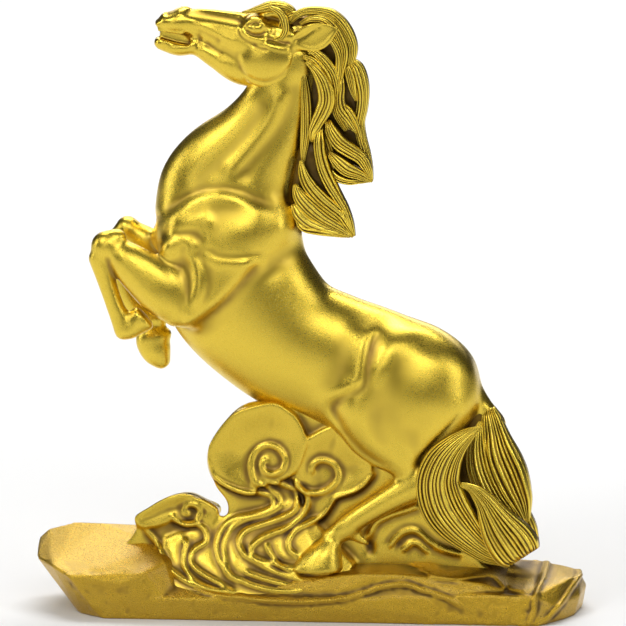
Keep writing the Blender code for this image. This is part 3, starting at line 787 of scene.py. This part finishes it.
MANE_LOCKS = [
    (13, 5, 1.1, 0.0, [(303, 70, 2), (305.5, 88, 5), (306.5, 104, 6), (306.5, 120, 6), (305.5, 136, 5.5),
        (304, 150, 4), (303, 163, 1.5)]),
    (14, 5, 1.0, 0.0, [(333, 84, 3), (335, 96, 5), (336.5, 108, 5.5), (341, 119, 5), (347, 130, 3)]),
    (12, 5, 1.0, 0.0, [(316, 120, 3), (322, 134, 6), (328, 150, 6), (333, 168, 5)]),
    (13, 6, 1.0, 0.0, [(290, 23, 2.5), (297, 16, 4), (306, 12.5, 4.5), (317, 12, 5), (330, 14.5, 6),
        (340, 22, 6.5), (348, 34, 6.5), (352.5, 47, 5.5), (351, 59, 4.5), (347, 69, 2)]),
    (17, 4, 1.0, 0.0, [(300, 25, 2), (309, 20, 3), (321, 19.5, 4), (331, 25, 4.5), (339, 36, 4.5),
        (344, 48, 4.5), (344, 60, 4), (341, 72, 3.5), (340, 84, 3)]),
    (19, 4, 1.0, 0.1, [(326, 36, 2.5), (334, 43, 4), (339, 54, 4.5), (339, 67, 4.5), (338, 80, 4)]),
    (19, 5, 1.0, 0.2, [(308, 50, 2.5), (317, 54, 4.5), (326, 62, 5.5), (333, 73, 5.5), (336, 86, 5),
        (337, 98, 4)]),
    (18, 4, 1.0, 0.2, [(303, 57, 2), (311, 60, 4), (319, 67, 5), (326, 76, 5), (331, 87, 4)]),
    (21, 5, 1.1, 0.1, [(306, 62, 2), (314, 68, 4.5), (321, 78, 7), (325, 90, 8), (325.5, 101, 8),
        (322, 112, 7.5), (317, 123, 6.5), (312.5, 133, 4.5), (312, 142, 1)]),
    (22, 3, 1.0, -0.2, [(318, 70, 2), (326, 80, 3.5), (331, 91, 4), (331.5, 101, 4), (328, 111, 4),
        (321, 122, 3.5), (315, 132, 3), (312.5, 141, 0.8)]),
    (18, 4, 1.1, 0.0, [(340, 78, 4), (340.5, 88, 5), (340, 98, 5.2), (341.5, 108, 5.5), (347, 117, 5),
        (353, 126, 3.5), (357, 133, 1)]),
    (14, 4, 1.0, 0.0, [(346, 64, 3), (349, 74, 5), (352, 84, 5), (354, 93, 3.5), (356, 101, 1)]),
    (12, 6, 1.1, 0.0, [(350, 60, 3), (357, 66, 6), (361, 78, 7.2), (363, 92, 6.5), (362, 107, 6),
        (359.5, 122, 5.5), (361.5, 137, 5.5), (366, 152, 4.8), (370, 167, 3.2), (372, 180, 1)]),
    (16, 3, 1.0, 0.0, [(343, 103, 2), (349, 109, 3.5), (354, 118, 3.5), (358, 128, 3), (361, 138, 2)]),
    (19, 5, 1.1, 0.1, [(328, 120, 3), (332, 131, 7), (340, 142, 8.5), (351, 150, 8), (361, 157, 7),
        (368, 168, 5), (372, 179.5, 1.2)]),
    (18, 5, 1.1, 0.0, [(328, 151, 2), (336, 159, 6.5), (347, 167.5, 8), (358, 172.5, 6), (367, 177.5, 3.5),
        (372.5, 180.5, 1)]),
    (15, 3, 1.0, 0.0, [(327, 164, 2), (335, 175, 4.5), (348, 180, 4), (360, 180.5, 2.3),
        (370, 180.5, 0.8)]),
    (20, 4, 1.1, 0.0, [(320, 128, 3), (319.5, 141, 6), (321, 155, 6.5), (325, 170, 7), (331, 184, 6.5),
        (338.5, 197, 5.5), (345, 208, 4.5), (350.5, 222, 3.5), (354.5, 235, 1)]),
    (19, 5, 1.1, 0.1, [(301, 160, 1.5), (303, 172, 5.5), (309, 184, 7.5), (320, 196, 8), (331, 205.5, 7.5),
        (340.5, 214, 6.5), (347.5, 225, 4.5), (353.5, 235, 1)]),
    (18, 6, 1.1, 0.1, [(295, 184, 2.5), (300, 196, 8), (311, 207, 9.5), (324, 216.5, 8.5), (336, 223.5, 7),
        (346, 230.5, 4.5), (353, 236, 1)]),
    (16, 4, 1.1, 0.0, [(294, 203, 3), (298, 213, 6.5), (308, 222, 6.5), (322, 227, 5.5), (337, 231, 4.5),
        (350, 236, 1)]),
    (16, 3, 1.0, 0.0, [(296, 216, 2), (303, 226, 4.5), (316, 230, 4.5), (332, 232.5, 3.5),
        (346, 236, 0.8)]),
]
FORELOCKS = [
    (7, 6, 1.5, 0.0, [(297, 19, 2.5), (291, 11.5, 4.5), (282, 8, 5.8), (271, 7.2, 5.4), (260, 10, 4),
        (250, 12.5, 2.2), (242, 14, 0.8)]),
    (9, 5, 1.2, 0.0, [(301, 14, 2.5), (293, 16.5, 5), (286, 22, 6), (281.5, 30, 4.5), (280, 37, 2)]),
    (17, 4, 1.2, 0.0, [(270, 9, 2), (279, 13, 4), (284.5, 21, 4.6), (286, 31, 4.2), (281, 39, 3),
        (271, 41.5, 1)]),
]
TAIL_LOCKS = [
    ((12, 26), 8, 0.9, 0.0, [(482, 418, 3), (479, 432, 8), (478, 448, 12), (480, 464, 14), (486, 480, 14),
        (495, 494, 12), (506, 506, 9), (516, 516, 5)]),
    ((7, 20), 9, 0.9, 0.0, [(489, 405, 7), (491.5, 414, 10.5), (495, 430, 14.5), (499, 450, 21),
        (506, 470, 23), (513, 487, 20.5), (519, 499, 16), (524, 510, 9), (527, 518, 4)]),
    ((16, 12), 4, 1.0, 0.0, [(508, 488, 3), (517, 499, 6), (526, 512, 7), (533, 524, 5.5), (538, 534, 2)]),
    ((46, 42), 13, 0.7, 0.0, [(481, 424, 1.5), (470, 430, 6.5), (455, 443, 13), (444, 458, 19),
        (438.5, 476, 22.5), (441, 493, 24.5), (448, 508, 24.5), (459, 522, 22), (473, 536, 17),
        (489, 548, 13), (503, 555, 8)]),
    ((52, 42), 12, 0.8, 0.05, [(461, 481, 2.5), (470, 484, 4.5), (478, 489.5, 8), (487, 500, 12),
        (494, 512, 17), (502, 525, 22.5), (511, 537, 25.5), (519, 547, 24.5), (523.5, 553, 20)]),
]
FORELOCK_SEEDS = (40, 42, 41)
TAIL_SEED = 60


def build_mane():
    """The mane's locks, then the forelock's."""
    skein = Skein()
    for seed, lock in enumerate(MANE_LOCKS):
        skein.add(lock, seed)
    for seed, lock in zip(FORELOCK_SEEDS, FORELOCKS):
        skein.add(lock, seed)
    return skein.piece("mane")


def build_tail():
    skein = Skein()
    for seed, lock in enumerate(TAIL_LOCKS, TAIL_SEED):
        skein.add(lock, seed)
    return skein.piece("tail")


# The inside of the hair, painted dark as shade: the mane's as pixels of the photograph, the rest as stations
MANE_CORE = [(283, 32), (300, 34), (305, 60), (303, 100), (300, 150), (296, 196), (295, 222), (312, 230),
    (338, 232), (350, 232), (345, 215), (338, 195), (333, 178), (344, 181), (368, 180), (368, 168),
    (365, 150), (361, 132), (360, 112), (362, 88), (358, 68), (350, 58), (348, 42), (343, 30), (333, 21),
    (318, 16), (302, 16), (292, 12), (282, 13)]
TAIL_CORE = [(158, 178, 0, 11, 11), (167, 146, 0, 22, 15), (160, 105, 0, 30, 22), (163, 70, 0, 33, 23),
    (180, 38, 0, 24, 19)]
POLL_CORE = [(-2, 420, 0, 20, 13), (-4, 390, 0, 22, 14), (-4, 362, 0, 18, 12)]
# How strongly the whole core is painted as shade
CORE_PAINTED_SHADE = 0.2


def build_hair_core():
    """Plain forms behind the locks, painted dark as shade, so that nothing shows through between them."""
    cast = Cast((-0.025, -0.016, 0.020), (0.135, 0.016, 0.352), 0.0016)
    cast.add(plate(facing(MANE_CORE, 0), -7, 7))
    cast.add(limb(POLL_CORE), 0.004)
    cast.add(limb(TAIL_CORE))
    piece = cast.mesh("hair_core", smooth=1)
    # The whole core is painted as shade
    crease = piece.data.attributes["crease"].data
    crease.foreach_set("value", np.full(len(crease), CORE_PAINTED_SHADE, np.float32))
    return piece


# The clouds: curling scrolls and streams of water, leaning back. Outlines are x and z steps.

CLOUD_CORE = [(-63, 176), (-13, 172), (27, 162), (62, 128), (100, 112), (116, 84), (140, 58), (167, 25),
    (167, -12), (-183, -12), (-176, 46), (-168, 60), (-135, 63), (-113, 54), (-88, 55), (-84, 75),
    (-98, 95), (-103, 120), (-88, 150)]
BIG_SCROLL = [(-103, 124), (-100, 137), (-87, 156), (-71, 169), (-39, 177), (-24, 171), (-12, 160),
    (-4, 140), (-9, 120), (-18, 105), (-33, 96), (-49, 93), (-61, 83), (-82, 89), (-96, 101)]
SECOND_SCROLL = [(-13, 112), (-11, 128), (-2, 142), (27, 155), (41, 138), (60, 119), (59, 106), (51, 93),
    (34, 86), (22, 80), (16, 68), (7, 59), (-11, 50), (-31, 40), (-21, 58), (-6, 78), (-15, 93)]
SMALL_SCROLL = [(-177, 60), (-164, 69), (-145, 80), (-125, 84), (-110, 78), (-95, 69), (-97, 62),
    (-105, 56), (-121, 52), (-137, 56), (-161, 49), (-174, 51)]
# The streams' crests, waves and curls as pixels of the photograph, the crests with their depths
CRESTS = [
    (44, [(206, 456), (209, 475), (219, 486), (240.5, 495), (261, 497.5), (270, 501), (272, 508),
        (265.5, 514), (250, 518.6), (233, 523), (222, 531), (216, 543.6), (218.6, 557.7), (226.4, 570),
        (234, 581)]),
    (45, [(256, 486), (268.6, 493.6), (278, 503), (276.4, 511), (265.5, 518.6), (248, 523), (234, 528),
        (226.4, 536), (222.5, 547), (225, 559), (231, 572), (240.5, 580)]),
    (45, [(265.5, 486), (290.5, 492), (296, 503), (293.6, 512.4), (284, 518.6), (265.5, 525), (248, 531),
        (240.5, 537.4), (238.6, 545), (245, 554.6), (259, 562.4), (278, 570), (295, 575.7),
        (318.6, 579.6)]),
    (44, [(289, 479.6), (296.8, 487.4), (304.6, 496.8), (307, 506), (303, 515.5), (295, 523.3),
        (285.8, 529.6), (271.8, 534.3), (259, 540.5), (251.4, 548.3), (254, 556), (272, 562), (300, 567),
        (332, 570)]),
    (46, [(373, 472), (370, 479.6), (354.6, 493.6), (335.8, 500), (331, 506), (323.3, 517), (312.4, 523.3),
        (300, 528), (292, 534.3), (288, 543.6), (291, 551), (300, 556)]),
    (52, [(265.5, 545), (270, 554.6), (278, 564), (287.4, 570), (300, 575)]),
    (50, [(178, 530), (190.5, 529.6), (200, 532.7), (205, 540.5), (203, 546.8), (195, 551.4),
        (189.7, 557.7), (190.5, 565.5), (198, 571.8), (214, 579.6), (236, 589)]),
    (54, [(178, 546), (184, 548), (182.7, 557.7), (182.7, 565.5), (187.4, 575), (198, 582.7), (214, 587.4),
        (236, 590.5)]),
    (60, [(243, 573), (262, 579), (285, 584), (312, 586.5), (340, 585)]),
    (58, [(141, 538), (152, 550), (160, 562), (168, 573), (184, 582), (206, 589), (238, 594)]),
    (64, [(236, 580), (252, 586), (272, 590), (296, 591), (320, 589)]),
]
WAVES = [
    [(368, 540), (371, 531), (377, 521), (391, 513.5), (405, 509), (420, 503)],
    [(389, 547), (396, 537), (405, 530), (417, 529.5), (431, 541), (446, 548), (464, 552)],
    [(402, 550), (409, 543), (416, 540.5), (423, 545), (430, 551)],
]
BIG_CURL = [(256, 487), (252, 476), (250.5, 464), (256, 452), (267, 446.5), (278, 449.5), (285, 459),
    (282, 470), (272, 474.5), (264, 471), (262, 463.5), (268, 459)]
SMALL_CURL = [(171, 516), (176, 523), (187, 527), (197, 521), (199, 512), (193, 507), (186, 508),
    (184, 514), (190, 516)]
SECOND_CURL = [(293, 483), (302, 490), (315, 493), (328, 489), (338, 478), (336, 467), (327, 461),
    (318, 461), (312, 467), (313, 475)]
# A groove, then the crest along its middle: height in mm, width in steps and how the ends fade
STREAM = ((-1.2, 5.5, 0.05), (3.0, 2.3, 0.05))
CURL = ((-1.2, 6, 0.05), (3.2, 2.9, 0.04))
WAVE = ((-1.2, 8, 0.05), (2.6, 3.2, 0.05))
WAVE_DEPTH = 26
LEDGE = ((-0.7, 6, 0.05), (2.0, 2.6, 0.05))
SKIRT = [(-0.40, -0.95, 0.62), (0.10, -0.92, 0.66), (-0.47, -0.80, 0.9), (-0.56, -0.5, 1.6),
    (-0.52, -0.42, 2.1), (-0.31, -0.36, 2.7), (-0.06, -0.38, 3.2), (0.16, -0.55, 1.5), (-0.60, 0.92, 0.6),
    (0.10, 0.92, 0.6), (-0.62, 0.4, 1.4), (-0.5, 0.2, 1.6), (-0.31, 0.2, 2.1), (-0.12, 0.3, 2.2),
    (0.16, 0.5, 1.4), (-0.6, -0.9, 0), (0.1, 0.9, 0)]


def leaned(shape):
    """Tips a shape of the clouds, so that its back stands lower."""
    points, triangles = shape
    points = points.copy()
    points[:, 2] -= LEAN_BACK * (points[:, 1] + LEAN_FROM * STEP)
    return points, triangles


def clouds(name, cell, side):
    """The near half of the clouds, or the far half."""
    reach = sorted((0.0012 * side, -0.041 * side))
    cast = Cast((-0.112, reach[0], 0.004), (0.108, reach[1], 0.128), cell)
    cast.add(leaned(plate(CLOUD_CORE, -25, 25)))
    for outline, half in ((BIG_SCROLL, 33), (SECOND_SCROLL, 30), (SMALL_SCROLL, 29)):
        cast.add(leaned(plate(outline, -half, half)), 0.003)
    cast.add(hull(SKIRT, SLAB_HEIGHT), 0.006)
    relief = Relief(cast)
    for outline, height, edge in ((BIG_SCROLL, 4.6, 24), (SECOND_SCROLL, 3.6, 18), (SMALL_SCROLL, 3.0, 12)):
        relief.dish(outline, height, edge)
    for depth, pixels in CRESTS:
        relief.crest(pixels, depth, STREAM)
    for pixels, depth in ((BIG_CURL, 32), (SECOND_CURL, 29), (SMALL_CURL, 29)):
        relief.crest(pixels, depth, CURL)
    for pixels in WAVES:
        relief.crest(pixels, WAVE_DEPTH, WAVE)
    relief.bump(370, 546, WAVE_DEPTH, -3.0, 6, 9)
    if side < 0:
        lower = round(LEAN_BACK * FAR_DEPTH * STEP / cast.cell)
        relief.raised = np.roll(relief.raised, -lower, axis=1)
    cast.carve(relief.raised, (side,))
    cast.level(0.0)
    return cast.mesh(name, smooth=1, side=side)


def build_near_clouds():
    return clouds("clouds_near", 0.00075, 1)


def build_far_clouds():
    return clouds("clouds_far", 0.0013, -1)


# The rocky base. Corners are shares of half its length and half its depth, and of a rock's height.

BOULDER = [(-0.81, -0.66, 0), (-0.72, -0.97, 0), (-0.45, -0.98, 0), (-0.40, 0.9, 0), (-0.78, 0.88, 0),
    (-1.0, 0.05, 0.66), (-0.995, -0.30, 0.62), (-0.93, -0.70, 0.59), (-0.865, -0.93, 0.51),
    (-0.69, -0.99, 0.45), (-0.59, -0.94, 0.55), (-0.52, -0.72, 0.66), (-0.57, -0.50, 0.78),
    (-0.66, -0.15, 0.9), (-0.77, 0.14, 0.97), (-0.87, 0.28, 0.95), (-0.965, 0.30, 0.86),
    (-0.997, 0.2, 0.77), (-0.97, 0.55, 0.6), (-0.86, 0.85, 0.55), (-0.70, 0.62, 0.82), (-0.58, 0.30, 0.92),
    (-0.47, 0.30, 0.90), (-0.40, 0.85, 0.5), (-0.38, 0.2, 0.66)]
SLAB = [(-0.76, -0.98, 0), (0.83, -1.0, 0), (0.94, -0.35, 0), (0.965, 0.3, 0), (0.92, 0.97, 0),
    (-0.7, 0.95, 0), (-0.60, -0.98, 0.62), (-0.2, -0.99, 0.60), (0.12, -0.98, 0.64), (-0.5, -0.72, 1.0),
    (0.1, -0.7, 1.02), (0.73, -0.93, 0.86), (0.81, -0.90, 0.84), (0.90, -0.42, 1.0), (0.94, -0.12, 1.05),
    (0.965, 0.2, 1.0), (0.985, 0.35, 0.62), (0.97, -0.15, 0.55), (0.90, -0.72, 0.5), (0.955, 0.55, 0.98),
    (0.92, 0.93, 0.7), (0.80, 0.88, 1.08), (0.2, 0.88, 1.08), (-0.6, 0.85, 1.0), (0.3, 0.98, 0.7)]
MOUND = [(0.05, -0.98, 0.5), (0.66, -0.98, 0.4), (0.72, 0.92, 0.4), (-0.25, 0.92, 0.4),
    (-0.12, -0.88, 0.95), (-0.02, -0.80, 1.24), (0.2, -0.86, 1.40), (0.36, -0.86, 1.38), (0.47, -0.84, 1.2),
    (0.62, -0.82, 1.16), (0.71, -0.78, 0.95), (0.24, -0.1, 1.52), (0.58, 0.0, 1.50), (0.64, -0.2, 1.40),
    (0.10, 0.75, 1.40), (0.56, 0.75, 1.40), (0.70, 0.3, 1.1), (-0.2, 0.7, 1.1)]
# Ledges and the boulder's foot, as pixels of the photograph
LEDGES = [
    [(178, 579.6), (193.6, 589), (217, 595), (240.5, 596.8), (271.8, 600), (311, 600), (350, 595),
        (381, 585.8), (404.6, 582.7), (421.8, 587.4), (445, 594), (464, 604)],
    [(300, 574), (369, 566), (416, 569), (445, 576), (487, 576), (508, 586), (537, 588)],
    [(528, 622), (534, 606), (537, 588), (548, 578), (562, 569), (577, 566)],
    [(545, 618), (560, 604), (573, 590), (586, 584)],
]
FACE_DEPTH = 66
BOULDER_FOOT = [(FACE_DEPTH, 0.6, 4, [(40, 563), (52, 572), (75, 580), (119, 585), (146, 575), (158, 566)])]
# The rock's two grains: the size of a lump, its height and its seed
GRAINS = ((0.012, 0.0005, 5), (0.0035, 0.00015, 6))


def rough(cast, size, height, seed):
    """A bumpy field over a cast's grid, with lumps about this size, in metres."""
    rng = np.random.default_rng(seed)
    field = 0
    for k in range(3):
        lump = size / 2 ** k
        coarse = [int(n * cast.cell / lump) + 3 for n in cast.size]
        grid = rng.uniform(-1, 1, coarse)
        for axis in range(3):
            place = np.arange(cast.size[axis]) * cast.cell / lump
            low = place.astype(int)
            shape = [1, 1, 1]
            shape[axis] = -1
            share = eased(place - low).reshape(shape)
            grid = grid.take(low, axis) * (1 - share) + grid.take(low + 1, axis) * share
        field = field + grid / 2 ** k
    return (field * height / cast.cell).astype(np.float32)


def build_base():
    """The slab with its boulder and the mound under the tail."""
    cast = Cast((-0.1585, -0.041, -0.001), (0.1585, 0.041, 0.050), 0.00105)
    for corners, height in ((BOULDER, BOULDER_HEIGHT), (SLAB, SLAB_HEIGHT), (MOUND, SLAB_HEIGHT)):
        cast.add(hull(corners, height))
    relief = Relief(cast)
    relief.draw(BOULDER_FOOT)
    for pixels in LEDGES:
        relief.crest(pixels, FACE_DEPTH, LEDGE)
    cast.carve(relief.raised)
    # The grain is full on the faces and faint on top
    y = np.abs(cast.axis(1))[None, :, None]
    z = cast.axis(2)[None, None, :]
    face = np.clip((y - 0.030) / 0.005, 0.15, 1) * np.clip((0.040 - z) / 0.02, 0.3, 1)
    cast.values += sum(rough(cast, *grain) for grain in GRAINS) * face
    cast.level(0.0)
    return cast.mesh("rocky_base")


# Looks

# The brown of patina and painted shade in the hollows, and a bronze on the way to it
BROWN = (0.055, 0.026, 0.004, 1)
BRONZE = (0.34, 0.205, 0.026, 1)
BRONZE_AT = 0.42
ROUGHNESS = (0.22, 0.34)
DULLER = 0.25  # how much rougher the brown is
# From and to which hollowness, in millimetres, the brown of patina and painted shade grows, over broad forms
# and in creases
BROAD = (0.04, 0.75)
TIGHT = (0.03, 0.26)
BLOTCHES = (160, 5)  # a noise's scale and detail
SKIN = (2000, 3)
COAT = 0.35
COAT_ROUGHNESS = 0.3
GRAIN_DEPTH = 0.0004


def ranged(tree, value, low=0.0, high=1.0, first=0.0, last=1.0):
    """A node that moves a value from one range into another."""
    made = tree.nodes.new("ShaderNodeMapRange")
    for name, number in (("From Min", low), ("From Max", high), ("To Min", first), ("To Max", last)):
        made.inputs[name].default_value = number
    tree.links.new(value, made.inputs["Value"])
    return made.outputs["Result"]


def noise(tree, place, scale, detail):
    made = tree.nodes.new("ShaderNodeTexNoise")
    made.inputs["Scale"].default_value = scale
    made.inputs["Detail"].default_value = detail
    tree.links.new(place, made.inputs["Vector"])
    return made.outputs["Fac"]


def computed(tree, operation, values, clamp=False):
    """A node that works out one value from others, which are sockets or numbers."""
    made = tree.nodes.new("ShaderNodeMath")
    made.operation = operation
    made.use_clamp = clamp
    for socket, value in zip(made.inputs, values):
        if isinstance(value, float):
            socket.default_value = value
        else:
            tree.links.new(value, socket)
    return made.outputs["Value"]


def mark(tree, name):
    """A number that a piece carries at its points."""
    made = tree.nodes.new("ShaderNodeAttribute")
    made.attribute_name = name
    return made.outputs["Fac"]


def brass_material(name, grain, patina_and_shade_amount, tone):
    """Satin brass with brown patina and painted shade in its hollows, browner where its tone is darker."""
    material = bpy.data.materials.new(name)
    material.use_nodes = True
    tree = material.node_tree
    shader = tree.nodes["Principled BSDF"]
    shader.inputs["Metallic"].default_value = 1.0
    shader.inputs["Coat Weight"].default_value = COAT
    shader.inputs["Coat Roughness"].default_value = COAT_ROUGHNESS
    place = tree.nodes.new("ShaderNodeTexCoord").outputs["Object"]
    broad = ranged(tree, mark(tree, "hollow"), *BROAD)
    tight = ranged(tree, mark(tree, "crease"), *TIGHT)
    stain = ranged(tree, noise(tree, place, *BLOTCHES), 0.3, 0.7, 0.75 * patina_and_shade_amount, patina_and_shade_amount)
    # Brown patina and painted shade, grown from the hollows and creases and varied in blotches
    hollow_patina_and_shade = computed(tree, "MULTIPLY", (computed(tree, "MAXIMUM", (broad, tight)), stain), True)
    ramp = tree.nodes.new("ShaderNodeValToRGB")
    colours = ramp.color_ramp.elements
    colours[0].color = (0.82 * tone, 0.59 * tone ** 1.4, 0.058 * tone ** 2, 1)
    colours[1].color = BROWN
    colours.new(BRONZE_AT).color = BRONZE
    tree.links.new(hollow_patina_and_shade, ramp.inputs["Fac"])
    tree.links.new(ramp.outputs["Color"], shader.inputs["Base Color"])
    skin = noise(tree, place, *SKIN)
    shine = ranged(tree, skin, 0.0, 1.0, *ROUGHNESS)
    tree.links.new(computed(tree, "MULTIPLY_ADD", (hollow_patina_and_shade, DULLER, shine)), shader.inputs["Roughness"])
    bump = tree.nodes.new("ShaderNodeBump")
    bump.inputs["Strength"].default_value = grain
    bump.inputs["Distance"].default_value = GRAIN_DEPTH
    tree.links.new(skin, bump.inputs["Height"])
    tree.links.new(bump.outputs["Normal"], shader.inputs["Normal"])
    return material


FLOOR_REACH = 6.0
FLOOR_COLOUR = (0.86, 0.86, 0.86, 1)
FLOOR_ROUGHNESS = 0.8


def make_studio():
    """A pale floor, wide enough to be the background from every side."""
    corners = [(x * FLOOR_REACH, y * FLOOR_REACH, 0) for x, y in ((-1, -1), (1, -1), (1, 1), (-1, 1))]
    mesh = bpy.data.meshes.new("studio_floor")
    mesh.from_pydata(corners, [], [(0, 1, 2, 3)])
    material = bpy.data.materials.new("studio_paper")
    material.use_nodes = True
    shader = material.node_tree.nodes["Principled BSDF"]
    shader.inputs["Base Color"].default_value = FLOOR_COLOUR
    shader.inputs["Roughness"].default_value = FLOOR_ROUGHNESS
    mesh.materials.append(material)
    floor = bpy.data.objects.new("studio_floor", mesh)
    bpy.context.scene.collection.objects.link(floor)


def softbox(name, place, width, height, glow, target=(0, 0, 0.17)):
    """A soft light that looks this bright from the statue."""
    data = bpy.data.lights.new(name, "AREA")
    data.shape = "RECTANGLE"
    data.size = width
    data.size_y = height
    data.energy = math.pi * width * height * glow
    light = bpy.data.objects.new(name, data)
    light.location = place
    light.rotation_euler = (Vector(target) - Vector(place)).to_track_quat("-Z", "Y").to_euler()
    bpy.context.scene.collection.objects.link(light)


WORLD_GLOW = 0.045


def light_room():
    softbox("key_softbox", (-1.3, -1.5, 1.9), 0.9, 0.8, 6.2)
    softbox("front_softbox", (0.5, -2.2, 1.7), 1.6, 0.95, 3.5)
    softbox("low_softbox", (-0.85, -2.2, 0.8), 0.8, 0.9, 1.5)
    softbox("right_strip", (1.7, -0.9, 0.9), 0.35, 1.4, 4.5)
    softbox("left_strip", (-1.9, -0.3, 0.7), 0.3, 1.2, 4.5)
    softbox("top_softbox", (0.1, 0.3, 2.1), 1.2, 0.8, 2.0)
    softbox("floor_softbox", (0, 1.2, 2.6), 2.4, 0.8, 9.5, (0, 1.4, 0))
    softbox("rim_softbox", (0, 2.6, 1.3), 2.6, 0.8, 3.0)
    world = bpy.data.worlds.new("studio")
    bpy.context.scene.world = world
    world.use_nodes = True
    background = world.node_tree.nodes["Background"]
    background.inputs["Color"].default_value = (1, 1, 1, 1)
    background.inputs["Strength"].default_value = WORLD_GLOW


def make_camera():
    turn = math.radians(AZIMUTH)
    rise = math.radians(ELEVATION)
    away = Vector((math.sin(turn) * math.cos(rise), -math.cos(turn) * math.cos(rise), math.sin(rise)))
    data = bpy.data.cameras.new("camera")
    data.sensor_width = SENSOR
    data.lens = SENSOR * DISTANCE / (FRAME_PIXELS * STEP)
    camera = bpy.data.objects.new("camera", data)
    camera.location = Vector(LOOK_AT) + away * DISTANCE
    camera.rotation_euler = (-away).to_track_quat("-Z", "Y").to_euler()
    bpy.context.scene.collection.objects.link(camera)
    bpy.context.scene.camera = camera


# Each piece with how sandy it is, how much brown patina and painted shade is in its hollows and how bright
# its metal is
PIECES = [
    (build_body, 0.3, 0.5, 1.0),
    (build_head, 0.12, 1.0, 1.0),
    (build_mane, 0.1, 1.1, 1.16),
    (build_tail, 0.1, 1.1, 1.12),
    (build_hair_core, 0.3, 1.2, 0.9),
    (build_near_clouds, 0.3, 1.0, 0.95),
    (build_far_clouds, 0.3, 1.0, 0.95),
    (build_base, 1.0, 0.9, 0.7),
]
# Everything from here is run
for build, grain, patina_and_shade_amount, tone in PIECES:
    piece = build()
    piece.data.materials.append(brass_material(piece.name + "_brass", grain, patina_and_shade_amount, tone))
    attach(piece, "root")
    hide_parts("horse_statue")
make_studio()
light_room()
make_camera()
bpy.context.scene.view_settings.view_transform = "Standard"
